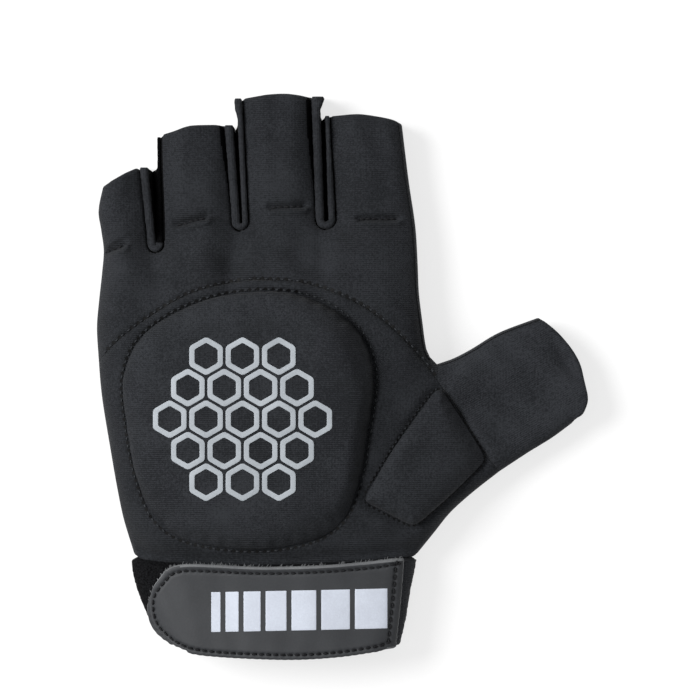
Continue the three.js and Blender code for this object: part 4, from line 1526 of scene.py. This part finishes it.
BLOCK_Y = (-78.6, -66.4)
BLOCK_WIDTHS = [9.9, 8.7, 7.5, 6.3, 5.1, 3.9, 2.7]
BLOCK_GAP = 1.7
BLOCK_TILT = 0.02
BLOCK_CELLS = (12, 14)
block_grids = []
edge = 14.2  # the right edge of the widest block
for width in BLOCK_WIDTHS:
    us, vs = (spread(cells) for cells in BLOCK_CELLS)
    x, y = np.meshgrid(mix(edge - width, edge, us), mix(*BLOCK_Y, vs))
    block_grids.append(printed(np.stack([x, y + BLOCK_TILT * x], -1), tab_tree))
    edge -= width + BLOCK_GAP
joined_sheets("strap_print", block_grids, False, TAB_PRINT)


# The floor, the light and the camera
FLOOR = 3.0
floor_mesh = bpy.data.meshes.new("floor")
floor_corners = [(-FLOOR, -FLOOR, 0), (FLOOR, -FLOOR, 0), (FLOOR, FLOOR, 0), (-FLOOR, FLOOR, 0)]
floor_mesh.from_pydata(floor_corners, [], [(0, 1, 2, 3)])
floor = bpy.data.objects.new("floor", floor_mesh)
bpy.context.scene.collection.objects.link(floor)
floor_material = bpy.data.materials.new("floor_white")
floor_material.use_nodes = True
floor_shader = floor_material.node_tree.nodes["Principled BSDF"]
floor_shader.inputs["Base Color"].default_value = (0.3, 0.3, 0.3, 1)
floor_shader.inputs["Roughness"].default_value = 0.9
floor_shader.inputs["Emission Color"].default_value = (1, 1, 1, 1)
floor_shader.inputs["Emission Strength"].default_value = 0.7
floor_mesh.materials.append(floor_material)

LIGHT_TARGET = Vector((0, 0, 0.01))


def area_light(name, place, size, power):
    data = bpy.data.lights.new(name, "AREA")
    data.shape = "DISK"
    data.size = size
    data.energy = power
    made = bpy.data.objects.new(name, data)
    made.location = place
    made.rotation_euler = (LIGHT_TARGET - Vector(place)).to_track_quat("-Z", "Y").to_euler()
    bpy.context.scene.collection.objects.link(made)


area_light("key", (-1.16, 0.38, 1.32), 0.9, 37)
area_light("fill", (0.3, -0.2, 1.6), 1.2, 2)
world = bpy.data.worlds.new("studio")
world.use_nodes = True
sky = world.node_tree.nodes
direction = sky.new("ShaderNodeSeparateXYZ")
world.node_tree.links.new(sky.new("ShaderNodeTexCoord").outputs["Generated"], direction.inputs["Vector"])
overhead = sky.new("ShaderNodeMapRange")
overhead.inputs["To Min"].default_value = 0.1
overhead.inputs["To Max"].default_value = 0.6
world.node_tree.links.new(direction.outputs["Z"], overhead.inputs["Value"])
world.node_tree.links.new(overhead.outputs["Result"], sky["Background"].inputs["Strength"])
sky["Background"].inputs["Color"].default_value = (1, 1, 1, 1)
bpy.context.scene.world = world
bpy.context.scene.view_settings.view_transform = "Standard"

VIEW_MIDDLE = (0.0027, 0.0077)
VIEW_WIDTH = 0.217
VIEW_LEVEL = 0.014  # the height at which the view is as wide as that
camera_data = bpy.data.cameras.new("camera")
camera_data.lens = 420
camera_data.sensor_width = 36
camera_data.clip_end = 20
distance = VIEW_WIDTH * camera_data.lens / camera_data.sensor_width
camera = bpy.data.objects.new("camera", camera_data)
camera.location = (*VIEW_MIDDLE, distance + VIEW_LEVEL)
bpy.context.scene.collection.objects.link(camera)
bpy.context.scene.camera = camera
